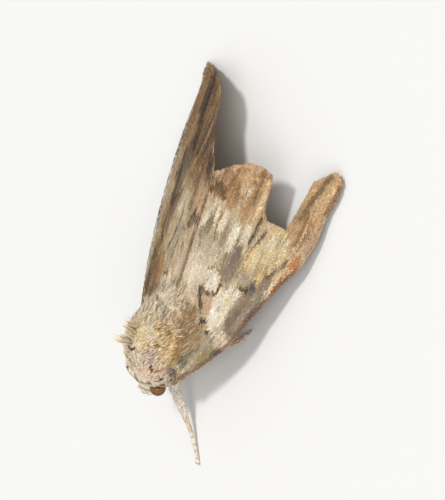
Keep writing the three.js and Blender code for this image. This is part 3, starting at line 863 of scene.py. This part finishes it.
thorax = {"centre": (0, 4.0, 5.4), "size": (3.15, 4.0, 3.55), "fullness": 2.3}
saddle = {"centre": (0, 0.9, 5.4), "size": (2.4, 2.7, 1.2)}
tegula = {"centre": (2.2, 4.4, 6.05), "size": (1.0, 2.8, 1.2), "turn": 0.13}
collar = {"centre": (0, 6.3, 5.7), "size": (3.0, 2.35, 2.35), "fullness": 2.3}
shoulder = {"centre": (3.05, 6.1, 4.9), "size": (0.85, 1.35, 0.95)}
forelegBase = {"centre": (2.3, 7.1, 4.0), "size": (0.95, 0.9, 0.9)}
head = {"centre": (0, 8.3, 5.0), "size": (1.95, 1.35, 1.4), "fullness": 2.1}
abdomen = {"frontY": 0.6, "tailY": -14.2, "z": 2.75, "radius": 1.6, "tailRadius": 0.75, "taper": 1.6,
           "rings": 9, "ringLength": 1.15, "broad": 1.05, "fullness": 2.4}
eye = {"centre": (1.78, 8.75, 5.1), "radius": 0.84, "looking": (0.45, -0.7, 0.53), "bare": 0.1}
skinFineness = {"voxel": 0.1, "smoothing": 4}
palpWay = [(0.62, 9.0, 4.0), (0.6, 9.85, 4.35), (0.5, 10.1, 5.0), (0.42, 9.95, 5.9)]
palpRadii = [0.32, 0.32, 0.24, 0.12]
legRadii = [0.42, 0.32, 0.34, 0.2, 0.15, 0.13]
stoutRadii = [0.42, 0.46, 0.27, 0.2, 0.17, 0.15]   # the stretched foreleg
legWays = {
    "foreleg_left": [(-1.4, 6.3, 3.2), (-1.55, 8.9, 2.75), (-2.95, 11.4, 1.5), (-4.12, 13.0, 0.75),
                     (-5.04, 14.25, 0.38), (-6.05, 15.45, 0.22)],
    "foreleg_right": [(1.5, 6.1, 3.3), (2.4, 7.9, 3.2), (4.7, 8.6, 1.9), (6.0, 10.6, 0.6), (6.3, 11.8, 0.3),
                      (6.5, 12.9, 0.22)],
}


def onSide(way, side):
    return [(side * x, y, z) for x, y, z in way]


midlegWay = [(2.0, 3.2, 2.9), (4.7, 3.4, 2.9), (5.7, 1.0, 1.5), (6.2, 0.3, 0.6), (6.5, -0.3, 0.3),
             (7.0, -1.1, 0.22)]
hindlegWay = [(1.5, 0.9, 3.2), (3.4, -2.4, 2.5), (4.1, -6.2, 1.2), (4.7, -8.6, 0.5), (4.9, -9.5, 0.3),
              (5.1, -10.6, 0.22)]
for sideName, side in sides.items():
    legWays[f"midleg_{sideName}"] = onSide(midlegWay, side)
    legWays[f"hindleg_{sideName}"] = onSide(hindlegWay, side)


def blob(centre, size, fullness=2.0, turn=0.0):
    # a ball with squarer or rounder sides
    deselectAll()
    bpy.ops.mesh.primitive_uv_sphere_add(segments=48, ring_count=32, radius=1)
    piece = bpy.context.object
    ball = verticesOf(piece)
    ball /= ((np.abs(ball) ** fullness).sum(-1) ** (1 / fullness))[:, None]
    moveVertices(piece, ball)
    piece.scale = size
    piece.rotation_euler = (0, 0, turn)
    piece.location = centre
    applyPlace(piece)
    return piece


def limb(way, radii):
    # tapering lengths with a ball at each joint
    pieces = []
    for start, end, thick, thin in zip(way, way[1:], radii, radii[1:]):
        run = Vector(end) - Vector(start)
        deselectAll()
        bpy.ops.mesh.primitive_cone_add(vertices=20, radius1=thick, radius2=thin, depth=run.length,
                                        location=(Vector(start) + Vector(end)) / 2,
                                        rotation=run.to_track_quat("Z", "Y").to_euler())
        applyPlace(bpy.context.object)
        pieces.append(bpy.context.object)
        pieces.append(blob(end, (thin, thin, thin)))
    return pieces


def joined(pieces, name):
    deselectAll()
    for piece in pieces:
        piece.select_set(True)
    bpy.context.view_layer.objects.active = pieces[0]
    bpy.ops.object.join()
    pieces[0].name = name
    return pieces[0]


def lump(shape, side=right):
    x, y, z = shape["centre"]
    return blob((side * x, y, z), shape["size"], shape.get("fullness", 2.0), side * shape.get("turn", 0.0))


def makeSkin():
    pieces = [lump(thorax), lump(head)]
    for side in sides.values():
        pieces.append(lump(tegula, side))
        pieces += limb(onSide(palpWay, side), palpRadii)
    pieces += [lump(collar), lump(saddle)]
    for side in sides.values():
        pieces += [lump(shoulder, side), lump(forelegBase, side)]
    for ring in range(abdomen["rings"]):
        share = ring / (abdomen["rings"] - 1)
        girth = blendTo(abdomen["radius"], abdomen["tailRadius"], share ** abdomen["taper"])
        place = (0, blendTo(abdomen["frontY"], abdomen["tailY"], share), abdomen["z"])
        reach = (girth * abdomen["broad"], abdomen["ringLength"], girth)
        pieces.append(blob(place, reach, abdomen["fullness"]))
    for name, way in legWays.items():
        pieces += limb(way, stoutRadii if name == "foreleg_left" else legRadii)
    skin = joined(pieces, "moth_skin")
    merge = skin.modifiers.new("merge", "REMESH")
    merge.mode = "VOXEL"
    merge.voxel_size = skinFineness["voxel"]
    bpy.ops.object.modifier_apply(modifier="merge")
    soften = skin.modifiers.new("soften", "SMOOTH")
    soften.factor = 0.5
    soften.iterations = skinFineness["smoothing"]
    bpy.ops.object.modifier_apply(modifier="soften")
    bpy.ops.object.mode_set(mode="EDIT")
    bpy.ops.mesh.select_all(action="SELECT")
    bpy.ops.mesh.normals_make_consistent(inside=False)
    bpy.ops.uv.smart_project(angle_limit=math.radians(72), island_margin=0.002)
    bpy.ops.object.mode_set(mode="OBJECT")
    skin.data.uv_layers[0].name = "OFBake"
    return skin


def wayShare(points, way):
    # distance to a chain of joints, how far along it the nearest spot is, in joints, and its heading there
    nearest = np.full(len(points), 1e9)
    share = np.zeros(len(points))
    heading = np.zeros((len(points), 3))
    for index, (start, end) in enumerate(zip(way, way[1:])):
        start, run = np.array(start, float), np.array(end, float) - start
        t = np.clip((points - start) @ run / (run @ run), 0, 1)
        gap = np.linalg.norm(points - start - t[:, None] * run, axis=1)
        closer = gap < nearest
        nearest, share = np.where(closer, gap, nearest), np.where(closer, index + t, share)
        heading[closer] = run / np.linalg.norm(run)
    return nearest, share, heading


# Marks of the coat: colour, half width, softness, strength and the way they run on the left side
bodyMarks = [
    ("butter", 0.9, 0.9, 0.95, [(-0.4, 2.0, 8.4), (-0.9, 3.0, 8.7)]),
    ("bright", 0.3, 0.4, 0.8, [(-0.4, 1.2, 8.1), (-1.4, 1.8, 8.2), (-1.9, 2.4, 8.1)]),
    ("straw", 0.3, 0.4, 0.8, [(-0.6, 0.6, 7.4), (-1.0, 0.4, 6.7)]),
    ("pink", 0.3, 0.3, 0.7, [(-1.9, 1.0, 7.1), (-1.6, 0.5, 6.6)]),
    ("umber", 0.1, 0.2, 0.9, [(-1.9, 1.6, 7.7), (-1.5, 0.9, 7.3)]),
    ("straw", 0.5, 0.5, 0.8, [(-2.4, 2.2, 7.4), (-2.9, 2.7, 6.9)]),
    ("gold", 0.5, 0.7, 0.6, [(-3.2, 2.4, 6.4), (-3.3, 4.2, 6.4)]),
    ("tan", 0.1, 0.2, 0.8, [(-3.0, 1.6, 6.4), (-3.1, 3.8, 6.1)]),
    ("straw", 0.3, 0.4, 0.8, [(-3.3, 3.1, 6.5), (-3.2, 3.8, 6.7)]),
    ("umber", 0.1, 0.3, 0.7, [(-2.3, 2.8, 7.8), (-2.7, 3.5, 7.4), (-2.7, 4.0, 7.4)]),
    ("ochre", 0.1, 0.2, 0.9, [(-3.7, 3.2, 5.5), (-3.7, 3.8, 5.3)]),
    ("mauve", 0.4, 0.5, 0.9, [(-3.4, 5.3, 5.6), (-3.6, 6.4, 5.1)]),
    ("moss", 0.2, 0.3, 0.7, [(-3.4, 4.7, 5.6), (-3.7, 4.5, 5.2)]),
    ("white", 0.5, 0.5, 1.0, [(-2.2, 7.6, 4.2), (-3.0, 7.1, 3.9)]),
    ("bright", 0.5, 0.6, 0.9, [(-0.9, 6.6, 8.1), (-1.2, 5.0, 8.7)]),
    ("lilac", 0.6, 0.6, 0.75, [(-2.3, 4.3, 8.0), (-2.4, 5.2, 7.8)]),
    ("stone", 0.5, 0.6, 0.7, [(0.0, 5.6, 8.7), (0.0, 7.2, 7.9)]),
    # painted shadow: the slit between the crest and the collar
    ("umber", 0.12, 0.2, 1.0, [(0.0, 4.9, 8.9), (-0.8, 4.5, 8.9)]),
    ("redBrown", 0.16, 0.18, 1.0, [(-2.4, 5.7, 7.5), (-2.45, 6.15, 7.2)]),
    ("rust", 0.14, 0.2, 0.9, [(-2.7, 6.05, 6.9), (-3.05, 5.95, 6.4)]),
    ("black", 0.1, 0.12, 1.0, [(-2.42, 5.5, 7.6), (-2.44, 5.7, 7.5)]),
    ("black", 0.07, 0.1, 0.9, [(-1.62, 5.15, 8.45), (-1.66, 5.25, 8.4)]),
    # painted shadow: a dark line under the collar's free edge, above the head
    ("umber", 0.14, 0.16, 1.0, [(0.0, 8.15, 7.2), (-0.9, 8.05, 7.3), (-2.0, 7.75, 7.0), (-2.9, 7.0, 6.0)]),
    ("slate", 0.16, 0.16, 1.0, [(-0.75, 7.7, 7.6), (-0.95, 7.8, 7.5)]),
]
bodyGrain = [Grain(21), Grain(22), Grain(23)]


def bodyColour(points):
    # the markings at a spot of the head, thorax or abdomen
    x, y, z = points.T
    ground = np.empty((len(points), 3))
    ground[:] = shades["bright"]
    ground = washed(ground, "sand", smooth(1.0, -1.0, y) * smooth(5.0, 4.6, z))
    ground = washed(ground, "cream", 0.7 * smooth(1.5, 0, y) * smooth(4.8, 5.2, z))
    goldSide = smooth(1.8, 0.4, x)      # the thorax is golden on the left, toward its rear
    gold = 0.6 * goldSide * smooth(4.6, 3.4, y) * smooth(0.2, 1.6, y) * smooth(5, 6, z)
    ground = washed(ground, "straw", gold)
    ground = washed(ground, "tan", 0.7 * smooth(4.6, 3.0, z))
    fleck = smooth(0.15, 0.45, bodyGrain[1].rough(x * 1.1 + 30, y * 0.5 + z * 0.6))
    fleck = fleck * smooth(5.6, 4.4, y) * smooth(0.4, 1.6, y) * smooth(5, 6, z)
    ground = washed(ground, "gold", 0.7 * goldSide * fleck)
    # painted shade: the left shoulder is washed darker tan than the right
    shadedLeftShoulder = smooth(-1.0, -2.2, x) * smooth(5.2, 4.0, y) * smooth(5.0, 5.6, z)
    ground = washed(ground, "tan", 0.6 * shadedLeftShoulder)
    ground = washed(ground, shades["pink"] * 0.95, 0.65 * smooth(4.2, 5.4, y) * smooth(7.8, 7.2, y))
    ground = washed(ground, "white", smooth(6.6, 7.4, y) * smooth(6.4, 5.4, z))
    wobble = np.stack([grain.rough(x * 1.6 + z, y * 1.6 + 0.7 * z) for grain in bodyGrain], -1) * 0.14
    mirrored = np.stack([-np.abs(x), y, z], -1) + wobble
    for name, halfWidth, softness, strength, way in bodyMarks:
        gap = wayShare(mirrored, way)[0]
        ground = washed(ground, name, strength * softEdged(gap, halfWidth, softness))
    return ground


def legColour(points, share, name):
    # pale shin, orange-brown ankle, then white foot joints ringed with brown
    x, y, z = points.T
    ground = np.empty((len(points), 3))
    ground[:] = shades["white"]
    ground = washed(ground, "tan", 0.4 * smooth(0.1, 0.6, bodyGrain[0].rough(x * 3 + z, y * 3)))
    ground = washed(ground, "pink", 0.9 * (smooth(2.0, 2.25, share) * smooth(3.1, 2.95, share)))
    foot = smooth(2.95, 3.05, share)
    bands = np.sin((share - 3) * math.pi * 4.2 + 0.9)
    ground = washed(ground, "white", foot)
    ground = washed(ground, "brown", 0.65 * smooth(-0.4, -0.9, bands) * foot)
    # painted shade: the other legs lie in the shade of the body, so they are washed browner
    return ground if name == "foreleg_left" else washed(ground, "brown", 0.6)


def legOf(points):
    # for each spot: the leg it is on, or -1, with its place and heading along it
    owner = np.full(len(points), -1)
    share, heading = np.zeros(len(points)), np.zeros((len(points), 3))
    best = np.full(len(points), 0.28)      # skin farther than this from every leg is on none
    for index, way in enumerate(legWays.values()):
        gap, at, toward = wayShare(points, way)
        gap = gap - np.interp(at, range(6), legRadii)
        hip = (at < 0.45) & (points[:, 2] > 2.9)
        inside = (gap < best) & ~hip
        best = np.where(inside, gap, best)
        owner[inside], share[inside], heading[inside] = index, at[inside], toward[inside]
    return owner, share, heading


def coatColour(points):
    owner, share = legOf(points)[:2]
    colours = bodyColour(points)
    for index, name in enumerate(legWays):
        here = owner == index
        if here.any():
            colours[here] = legColour(points[here], share[here], name)
    return colours


def skinPaint():
    paint = Paint("moth_skin", 0.75)
    nap = paint.speckle(paint.objectPlace(), (9000, 2600, 9000))
    # painted shade: the skin is about a fifth darker than its coat, so it shows dark in the gaps between the
    # tufts
    paint.into("Base Color", paint.scaled(paint.attribute("coat"), 0.55 + 0.5 * nap))
    paint.bump(nap, 0.0001, 0.9)
    return paint.material


class Surface:
    # the skin's faces, for roots of tufts
    def __init__(self, skin):
        data = skin.data
        data.calc_loop_triangles()
        count = len(data.loop_triangles)
        corners, loops = np.empty(count * 3, int), np.empty(count * 3, int)
        data.loop_triangles.foreach_get("vertices", corners)
        data.loop_triangles.foreach_get("loops", loops)
        maps = np.empty(len(data.loops) * 2)
        data.uv_layers["OFBake"].data.foreach_get("uv", maps)
        normals = np.empty(len(data.vertices) * 3)
        data.vertices.foreach_get("normal", normals)
        self.points = verticesOf(skin)[corners.reshape(-1, 3)]
        self.normals = normals.reshape(-1, 3)[corners.reshape(-1, 3)]
        self.maps = maps.reshape(-1, 2)[loops.reshape(-1, 3)]
        first, second, third = self.points.swapaxes(0, 1)
        self.areas = np.linalg.norm(np.cross(second - first, third - first), axis=1) / 2
        self.middles = self.points.mean(1)
        self.leg, _, self.heading = legOf(self.middles)
        x, y, z = self.middles.T
        toEye = np.linalg.norm(np.stack([np.abs(x), y, z], -1) - eye["centre"], axis=1)
        self.clear = toEye > eye["radius"] + eye["bare"]    # no hair grows out of the eyes

    def mapNear(self, spots):
        nearest = [np.linalg.norm(self.middles - spot, axis=1).argmin() for spot in spots]
        return self.maps[nearest].mean(1)

    def scatter(self, density, seed):
        # density is tufts for each square millimetre of each face
        chance = np.random.RandomState(seed)
        expected = np.cumsum(self.areas * density)
        count = int(expected[-1])
        picks = np.searchsorted(expected, np.sort(chance.rand(count)) * expected[-1])
        a, b = chance.rand(count), chance.rand(count)
        flip = a + b > 1
        a, b = np.where(flip, 1 - a, a), np.where(flip, 1 - b, b)
        weights = np.stack([1 - a - b, a, b], -1)[..., None]
        spread = lambda values: (values[picks] * weights).sum(1)
        return spread(self.points), unit(spread(self.normals)), spread(self.maps), picks, chance


furLift = 1.7      # tufts shade each other too
lockRate = 0.05    # share of the tufts that lead a lock
wander = 0.25      # how far tufts and locks stray from the way the coat runs


def told(amount, roots):
    # an amount is one number, or a function of the spot
    return amount(roots) if callable(amount) else np.full(len(roots), amount)


def layFur(name, density, seed, flow, length, width, lift, contrast=0.26, gather=0.55, dark=0.13,
           stray=0.0, sweep=0.0):
    # without a flow the tufts run down the leg
    roots, normals, places, picks, chance = surface.scatter(density * surface.clear, seed)
    count = len(roots)
    along = flow(roots) if flow else surface.heading[picks]
    lengths = told(length, roots) * (0.7 + 0.5 * chance.rand(count))
    # each lock has a leader, and the tips of the tufts near it draw toward its tip
    leaders = chance.choice(count, int(count * lockRate), replace=False)
    tree = KDTree(len(leaders))
    for number, leader in enumerate(leaders):
        tree.insert(roots[leader], number)
    tree.balance()
    lock = np.array([tree.find(root)[1] for root in roots])
    swing = chance.normal(size=(len(leaders), 3)) * wander
    leaderLie = unit(along + swing[lock])
    goal = roots[leaders[lock]] + leaderLie * (told(length, roots) * 1.05)[:, None] - roots
    own = unit(along + chance.normal(size=roots.shape) * wander) * lengths[:, None]
    wish = blendTo(own, goal, gather)
    # tufts lie on the skin, but at its rear they sweep on over the wings
    outward = (unit(wish) * normals).sum(1, keepdims=True)
    kept = sweep * smooth(0.3, 0.8, -normals[:, 1:2])
    lie = unit(unit(wish) - normals * outward * (1 - kept))
    normals = unit(normals + kept * np.array([0, 0, 1]))
    lockTone, lockLift = chance.normal(size=len(leaders)) * 0.2, 0.7 + 0.7 * chance.rand(len(leaders))
    lifts = np.radians(told(lift, roots)) * lockLift[lock] * (0.7 + 0.6 * chance.rand(count))
    lifts = np.where(chance.rand(count) < stray, 2.6, 1) * lifts
    widths = width * (0.75 + 0.5 * chance.rand(count))
    pick = chance.rand(count)
    odd = np.where(pick < dark, 0.38, np.where(pick > 0.7, 1.3, 0.9))    # some dark, some pale
    tone = (odd * (1 + contrast * chance.normal(size=count) * 0.6 + lockTone[lock]))[:, None].clip(0.3, 1.6)
    warm = 1 + 0.04 * chance.normal(size=count)[:, None] * np.array([1, 0, -1.2])
    marks = coatColour(roots + 0.6 * lie * lengths[:, None])
    pale = smooth(0.1, 0.45, marks.mean(-1, keepdims=True))     # dark marks stay dark
    colours = held(marks * (1 + (furLift - 1) * pale) * tone * warm)
    # painted shade: each tuft's root is darker than its tip, where the tufts shade each other
    piece = tufts(name, hair, roots, normals, lie, lengths, widths, lifts, colours * 0.8, colours, places)
    finish(piece, furPaint(name), smoothShade=False)
    print("stage:", name, count, "tufts")


skin = makeSkin()
surface = Surface(skin)
paintOn(skin, coatColour(verticesOf(skin)))
moveVertices(skin, world(verticesOf(skin)))
finish(skin, skinPaint(), ["thorax", "head", "abdomen", "palp_left", "palp_right", *legWays])
print("stage: skin", len(skin.data.polygons), "faces")

onLeg = surface.leg >= 0
midX, midY, midZ = surface.middles.T
toPalp = np.minimum(*[wayShare(surface.middles, onSide(palpWay, side))[0] for side in sides.values()])
onHead = ~onLeg & ((midY > 7.35) | (toPalp < 0.45))
onThorax = ~onLeg & ~onHead & ((midY > 0.2) | (midZ > 5))
onAbdomen = ~onLeg & ~onHead & ~onThorax
upward = smooth(3.4, 5.2, midZ)


def flankShare(roots):
    # the sides of the thorax, over the wing roots
    x, y, z = roots.T
    return smooth(1.6, 2.8, np.abs(x)) * smooth(6.0, 4.0, y) * smooth(4.8, 5.6, z)


def thoraxFlow(roots):
    x, y, z = roots.T
    outward = 0.28 * x + 0.35 * flankShare(roots) * np.sign(x)
    wish = np.stack([outward, -np.ones(len(x)), -0.25 * smooth(4, 1, y)], -1)
    front = smooth(6.6, 7.6, y)[:, None]
    return blendTo(wish, np.stack([0.5 * x, -0.2 + 0 * y, 0.9 + 0 * z], -1), 0.7 * front)


def headFlow(roots):
    x, y, z = roots.T
    crown = smooth(5.6, 6.4, z)[:, None]
    face = np.stack([0.25 * x, 0.2 + 0 * y, -0.8 + 0 * z], -1)
    hood = np.stack([0.35 * x, 1 + 0 * y, -0.5 + 0 * z], -1)
    return blendTo(face, hood, crown)


def backFlow(roots):
    return np.tile([0.0, -1.0, 0.0], (len(roots), 1))


def thoraxLength(roots):
    return blendTo(1.1, 0.72, smooth(0.4, 4.5, roots[:, 1])) + 0.3 * flankShare(roots)


def thoraxLift(roots):
    return blendTo(4, 8, smooth(1.5, 5, roots[:, 1]))


def headLength(roots):
    return blendTo(0.34, 0.7, smooth(5.8, 6.6, roots[:, 2]))


def onShin(roots):
    # the shin of the stretched foreleg, where a ragged fringe stands out
    owner, share = legOf(roots)[:2]
    return (owner == 0) & (share > 0.8) & (share < 2.0)


def legLift(roots):
    return np.where(onShin(roots), 17, 5)


def legLength(roots):
    return np.where(onShin(roots), 0.56, 0.36)


overThorax = onThorax * (0.4 + 0.6 * upward)
for sideName, seed, half in (("left", 31, midX <= 0), ("right", 32, midX > 0)):
    layFur(f"thorax_fur_{sideName}", 140 * overThorax * half, seed, thoraxFlow, thoraxLength, 0.11,
           thoraxLift, contrast=0.36, dark=0.2, stray=0.05, sweep=0.65)
layFur("head_fur", 260 * onHead, 33, headFlow, headLength, 0.09, 11, gather=0.3, dark=0.07)
layFur("abdomen_fur", 55 * onAbdomen, 34, backFlow, 0.8, 0.14, 10)
layFur("leg_scales", 90 * onLeg, 35, None, legLength, 0.12, legLift, gather=0.4, dark=0.12,
       stray=0.16)


# ---- claws and the spurs of the shins

claw = {"length": 0.34, "width": 0.09, "spread": 0.45, "dip": 0.12, "sunk": 0.05}
spur = {"length": 0.85, "uneven": 0.15, "width": 0.13, "spread": 0.5, "sunk": 0.1}


def makeClaws():
    rows = []      # root, direction, length, width and colour of each
    for name, way in legWays.items():
        toe, heel, shin, knee = (np.array(way[joint]) for joint in (-1, -2, 3, 2))
        forward, down = unit(toe - heel), unit(shin - knee)
        for turn in (-1, 1):
            reach = forward + turn * claw["spread"] * np.cross(forward, (0, 0, 1)) + (0, 0, -claw["dip"])
            rows.append((toe - claw["sunk"] * forward, reach, claw["length"], claw["width"], shades["dark"]))
            if "foreleg" not in name:
                reach = down + turn * spur["spread"] * np.cross(down, (0, 0, 1))
                length = spur["length"] + spur["uneven"] * turn
                rows.append((shin - spur["sunk"] * down, reach, length, spur["width"], shades["cream"]))
    roots, lies, lengths, widths, colours = (np.array(column) for column in zip(*rows))
    lies = unit(lies)
    normals = unit(np.array([0, 0, 1]) - lies * lies[:, 2:])
    claws = tufts("claws", hair, roots, normals, lies, lengths, widths, np.zeros(len(roots)), colours,
                  colours * 0.9, surface.mapNear(roots))
    finish(claws, furPaint("claws", 0.4))


makeClaws()


# ---- standing crest behind the collar

crest = {"count": 210, "y": 4.2, "z": 8.75, "brushShare": 0.8, "combLength": 1.7, "combGap": 0.5,
         "width": 0.12}


def makeCrest():
    # a narrow brush that leans forward, and a thin comb behind it
    chance = np.random.RandomState(41)
    count = crest["count"]
    brush = chance.rand(count) < crest["brushShare"]
    back = np.where(brush, 0, crest["combGap"] + crest["combLength"] * chance.rand(count))
    x = chance.normal(size=count) * np.where(brush, 0.1, 0.22)
    y = crest["y"] - back + chance.normal(size=count) * 0.13
    roots = np.stack([x, y, np.full(count, crest["z"])], -1)
    lean = np.stack([x * 0.2, np.where(brush, -0.3, -0.45), np.ones(count)], -1)
    lie = unit(lean + chance.normal(size=(count, 3)) * 0.05)
    normals = unit(np.cross(lie, unit(chance.normal(size=(count, 3)))))
    lengths = np.where(brush, 2.75, 2.2) * (0.75 + 0.27 * chance.rand(count))
    tone = (1 + 0.16 * chance.normal(size=count))[:, None].clip(0.5, 1.3)
    base = held(np.where(brush[:, None], shades["bright"], shades["cream"]) * 1.15 * tone)
    # painted shade: the hairs are darker at their roots, where they shade each other
    piece = tufts("crest_fur", hair, roots, normals, lie, lengths, np.full(count, crest["width"]),
                  np.zeros(count), base * 0.85, base, surface.mapNear(roots))
    finish(piece, furPaint("crest_fur"))


makeCrest()


# ---- eyes

eyeRings = [
    (0.0, tint(104, 68, 30)), (0.3, tint(140, 96, 46)), (0.42, tint(84, 54, 26)), (0.52, tint(98, 64, 32)),
    (0.6, tint(160, 122, 74)), (0.68, tint(90, 58, 30)), (0.8, tint(142, 92, 40)), (0.93, tint(100, 60, 28)),
]


def makeEye(sideName):
    side = sides[sideName]
    centre = world(onSide([eye["centre"]], side))[0]
    deselectAll()
    radius = eye["radius"] * mm
    bpy.ops.mesh.primitive_uv_sphere_add(segments=64, ring_count=40, radius=radius, location=centre)
    piece = bpy.context.object
    piece.name = f"eye_globe_{sideName}"
    applyPlace(piece)
    paint = Paint(f"compound_eye_{sideName}", 0.22)
    # rings round the spot that the eye looks out of
    looking = Vector(onSide([eye["looking"]], side)[0]).normalized()
    place = paint.objectPlace()
    vectorMath = "ShaderNodeVectorMath"
    offset = paint.node(vectorMath, {"operation": "SUBTRACT"}, [place, tuple(centre)])
    facing = paint.node(vectorMath, {"operation": "DOT_PRODUCT"}, [offset, tuple(looking)], "Value")
    ramp = paint.node("ShaderNodeValToRGB", {"stops": eyeRings}, [facing / radius])
    facets = paint.cells(place, 16000)
    paint.into("Base Color", paint.scaled(ramp, 0.6 + 0.42 * facets))
    paint.into("Specular IOR Level", 0.35)
    paint.bump(facets, 0.00001, 0.5)
    finish(piece, paint.material, [f"eye_{sideName}"])


for sideName in sides:
    makeEye(sideName)
print("stage: eyes")


# ---- hindwings, folded under the forewings

hindwing = {"innerX": 1.6, "outerX": 8.0, "rootY": 1.2, "tailY": -14.2, "below": 0.75, "thickness": 0.14,
            "columns": 36, "rows": 70, "fringe": 1600}


def hindPlan(along, across):
    width = (hindwing["outerX"] - hindwing["innerX"]) * np.sin(blendTo(0.35, 2.3, along))
    y = blendTo(hindwing["rootY"], hindwing["tailY"], along) + 1.4 * across * along
    return hindwing["innerX"] + width * across, y


def hindHeight(x, y):
    return roofHeight(x, y) - roof["swell"] * rootEnd(y) - hindwing["below"]


def makeHindFringe(sideName):
    side = sides[sideName]
    chance = np.random.RandomState(61 + side)
    count = hindwing["fringe"]
    across = chance.rand(count)
    x, y = hindPlan(np.full(count, 0.985), across)
    roots = np.stack([side * x, y, hindHeight(x, y) - 0.05], -1)
    lie = np.array([side * 0.25, -1, -0.1]) + chance.normal(size=(count, 3)) * 0.08
    colours = held(shades["sand"] * (1 + 0.15 * chance.normal(size=count))[:, None])
    normals = np.tile(unit(np.array([0.0, 0.1, 1.0])), (count, 1))
    places = np.stack([across * 0.5, np.full(count, 0.02)], -1)
    name = f"hindwing_fringe_{sideName}"
    lengths = 0.6 + 0.3 * chance.rand(count)
    # painted shade: the fringe scales are darker at their roots
    fringe = tufts(name, scale, roots, normals, unit(lie), lengths, np.full(count, 0.09), np.zeros(count),
                   colours * 0.8, colours, places)
    finish(fringe, scalePaint(name))


def makeHindwing(sideName):
    side = sides[sideName]

    def shape(along, across, under):
        x, y = hindPlan(along, across)
        top = hindHeight(x, y) + 0.07 * np.sin(across * 30) * along      # faint pleats
        nearEdge = np.minimum(np.minimum(across, 1 - across) * 5, (1 - along) * 15)
        thick = hindwing["thickness"] * np.sqrt(np.clip(nearEdge / 0.4, 0, 1))
        points = np.stack([side * x, y, np.where(under, top - thick, top)], -1)
        band = smooth(0.6, 0.85, along)[:, None]
        veins = 0.9 + 0.1 * np.cos(across * 60)[:, None]
        return points, blendTo(shades["tan"], shades["umber"], band) * veins

    piece = foldedSheet(f"hindwing_skin_{sideName}", hindwing["columns"], hindwing["rows"], shape)
    finish(piece, wingPaint(f"hindwing_scale_{sideName}"), [f"hindwing_{sideName}"])
    makeHindFringe(sideName)


for sideName in sides:
    makeHindwing(sideName)
print("stage: hindwings")


# ---- antennae, laid back under the wings

antennaWay = [(1.0, 8.6, 6.1), (1.9, 8.1, 6.0), (2.7, 7.9, 5.4), (3.0, 7.5, 4.6), (3.4, 6.4, 4.0),
              (4.7, 4.0, 3.6), (6.0, 0.5, 2.9), (7.2, -3.0, 2.3), (7.9, -6.3, 1.8)]
antenna = {"radius": 0.15, "tip": 0.35}      # the tip's share of the radius


def makeAntenna(sideName):
    # a thread of close rings, thicker at the base
    side = sides[sideName]
    deselectAll()
    bpy.ops.curve.primitive_bezier_curve_add()
    thread = bpy.context.object
    spline = thread.data.splines[0]
    spline.bezier_points.add(len(antennaWay) - 2)
    places = world(onSide(antennaWay, side))
    for number, (point, place) in enumerate(zip(spline.bezier_points, places)):
        point.co = tuple(place)
        point.handle_left_type = point.handle_right_type = "AUTO"
        point.radius = blendTo(1.0, antenna["tip"], number / (len(antennaWay) - 1))
    thread.data.bevel_depth = antenna["radius"] * mm
    thread.data.bevel_resolution = 3
    thread.data.resolution_u = 24
    thread.data.use_fill_caps = True
    thread.location = (0, 0, 0)
    bpy.ops.object.convert(target="MESH")
    piece = bpy.context.object
    piece.name = f"antenna_thread_{sideName}"
    applyPlace(piece)
    paint = Paint(f"antenna_{sideName}", 0.6)
    place = paint.objectPlace()
    rings = paint.node("ShaderNodeTexWave", {"wave_type": "BANDS", "bands_direction": "Y"},
                       {"Vector": place, "Scale": 1800, "Distortion": 0.4}, "Fac")
    paint.into("Base Color", paint.mixed(rings, (*shades["umber"], 1), (*shades["tan"], 1)))
    paint.bump(rings, 0.00004, 0.8)
    finish(piece, paint.material, [f"antenna_{sideName}"])


for sideName in sides:
    makeAntenna(sideName)
print("stage: antennae")
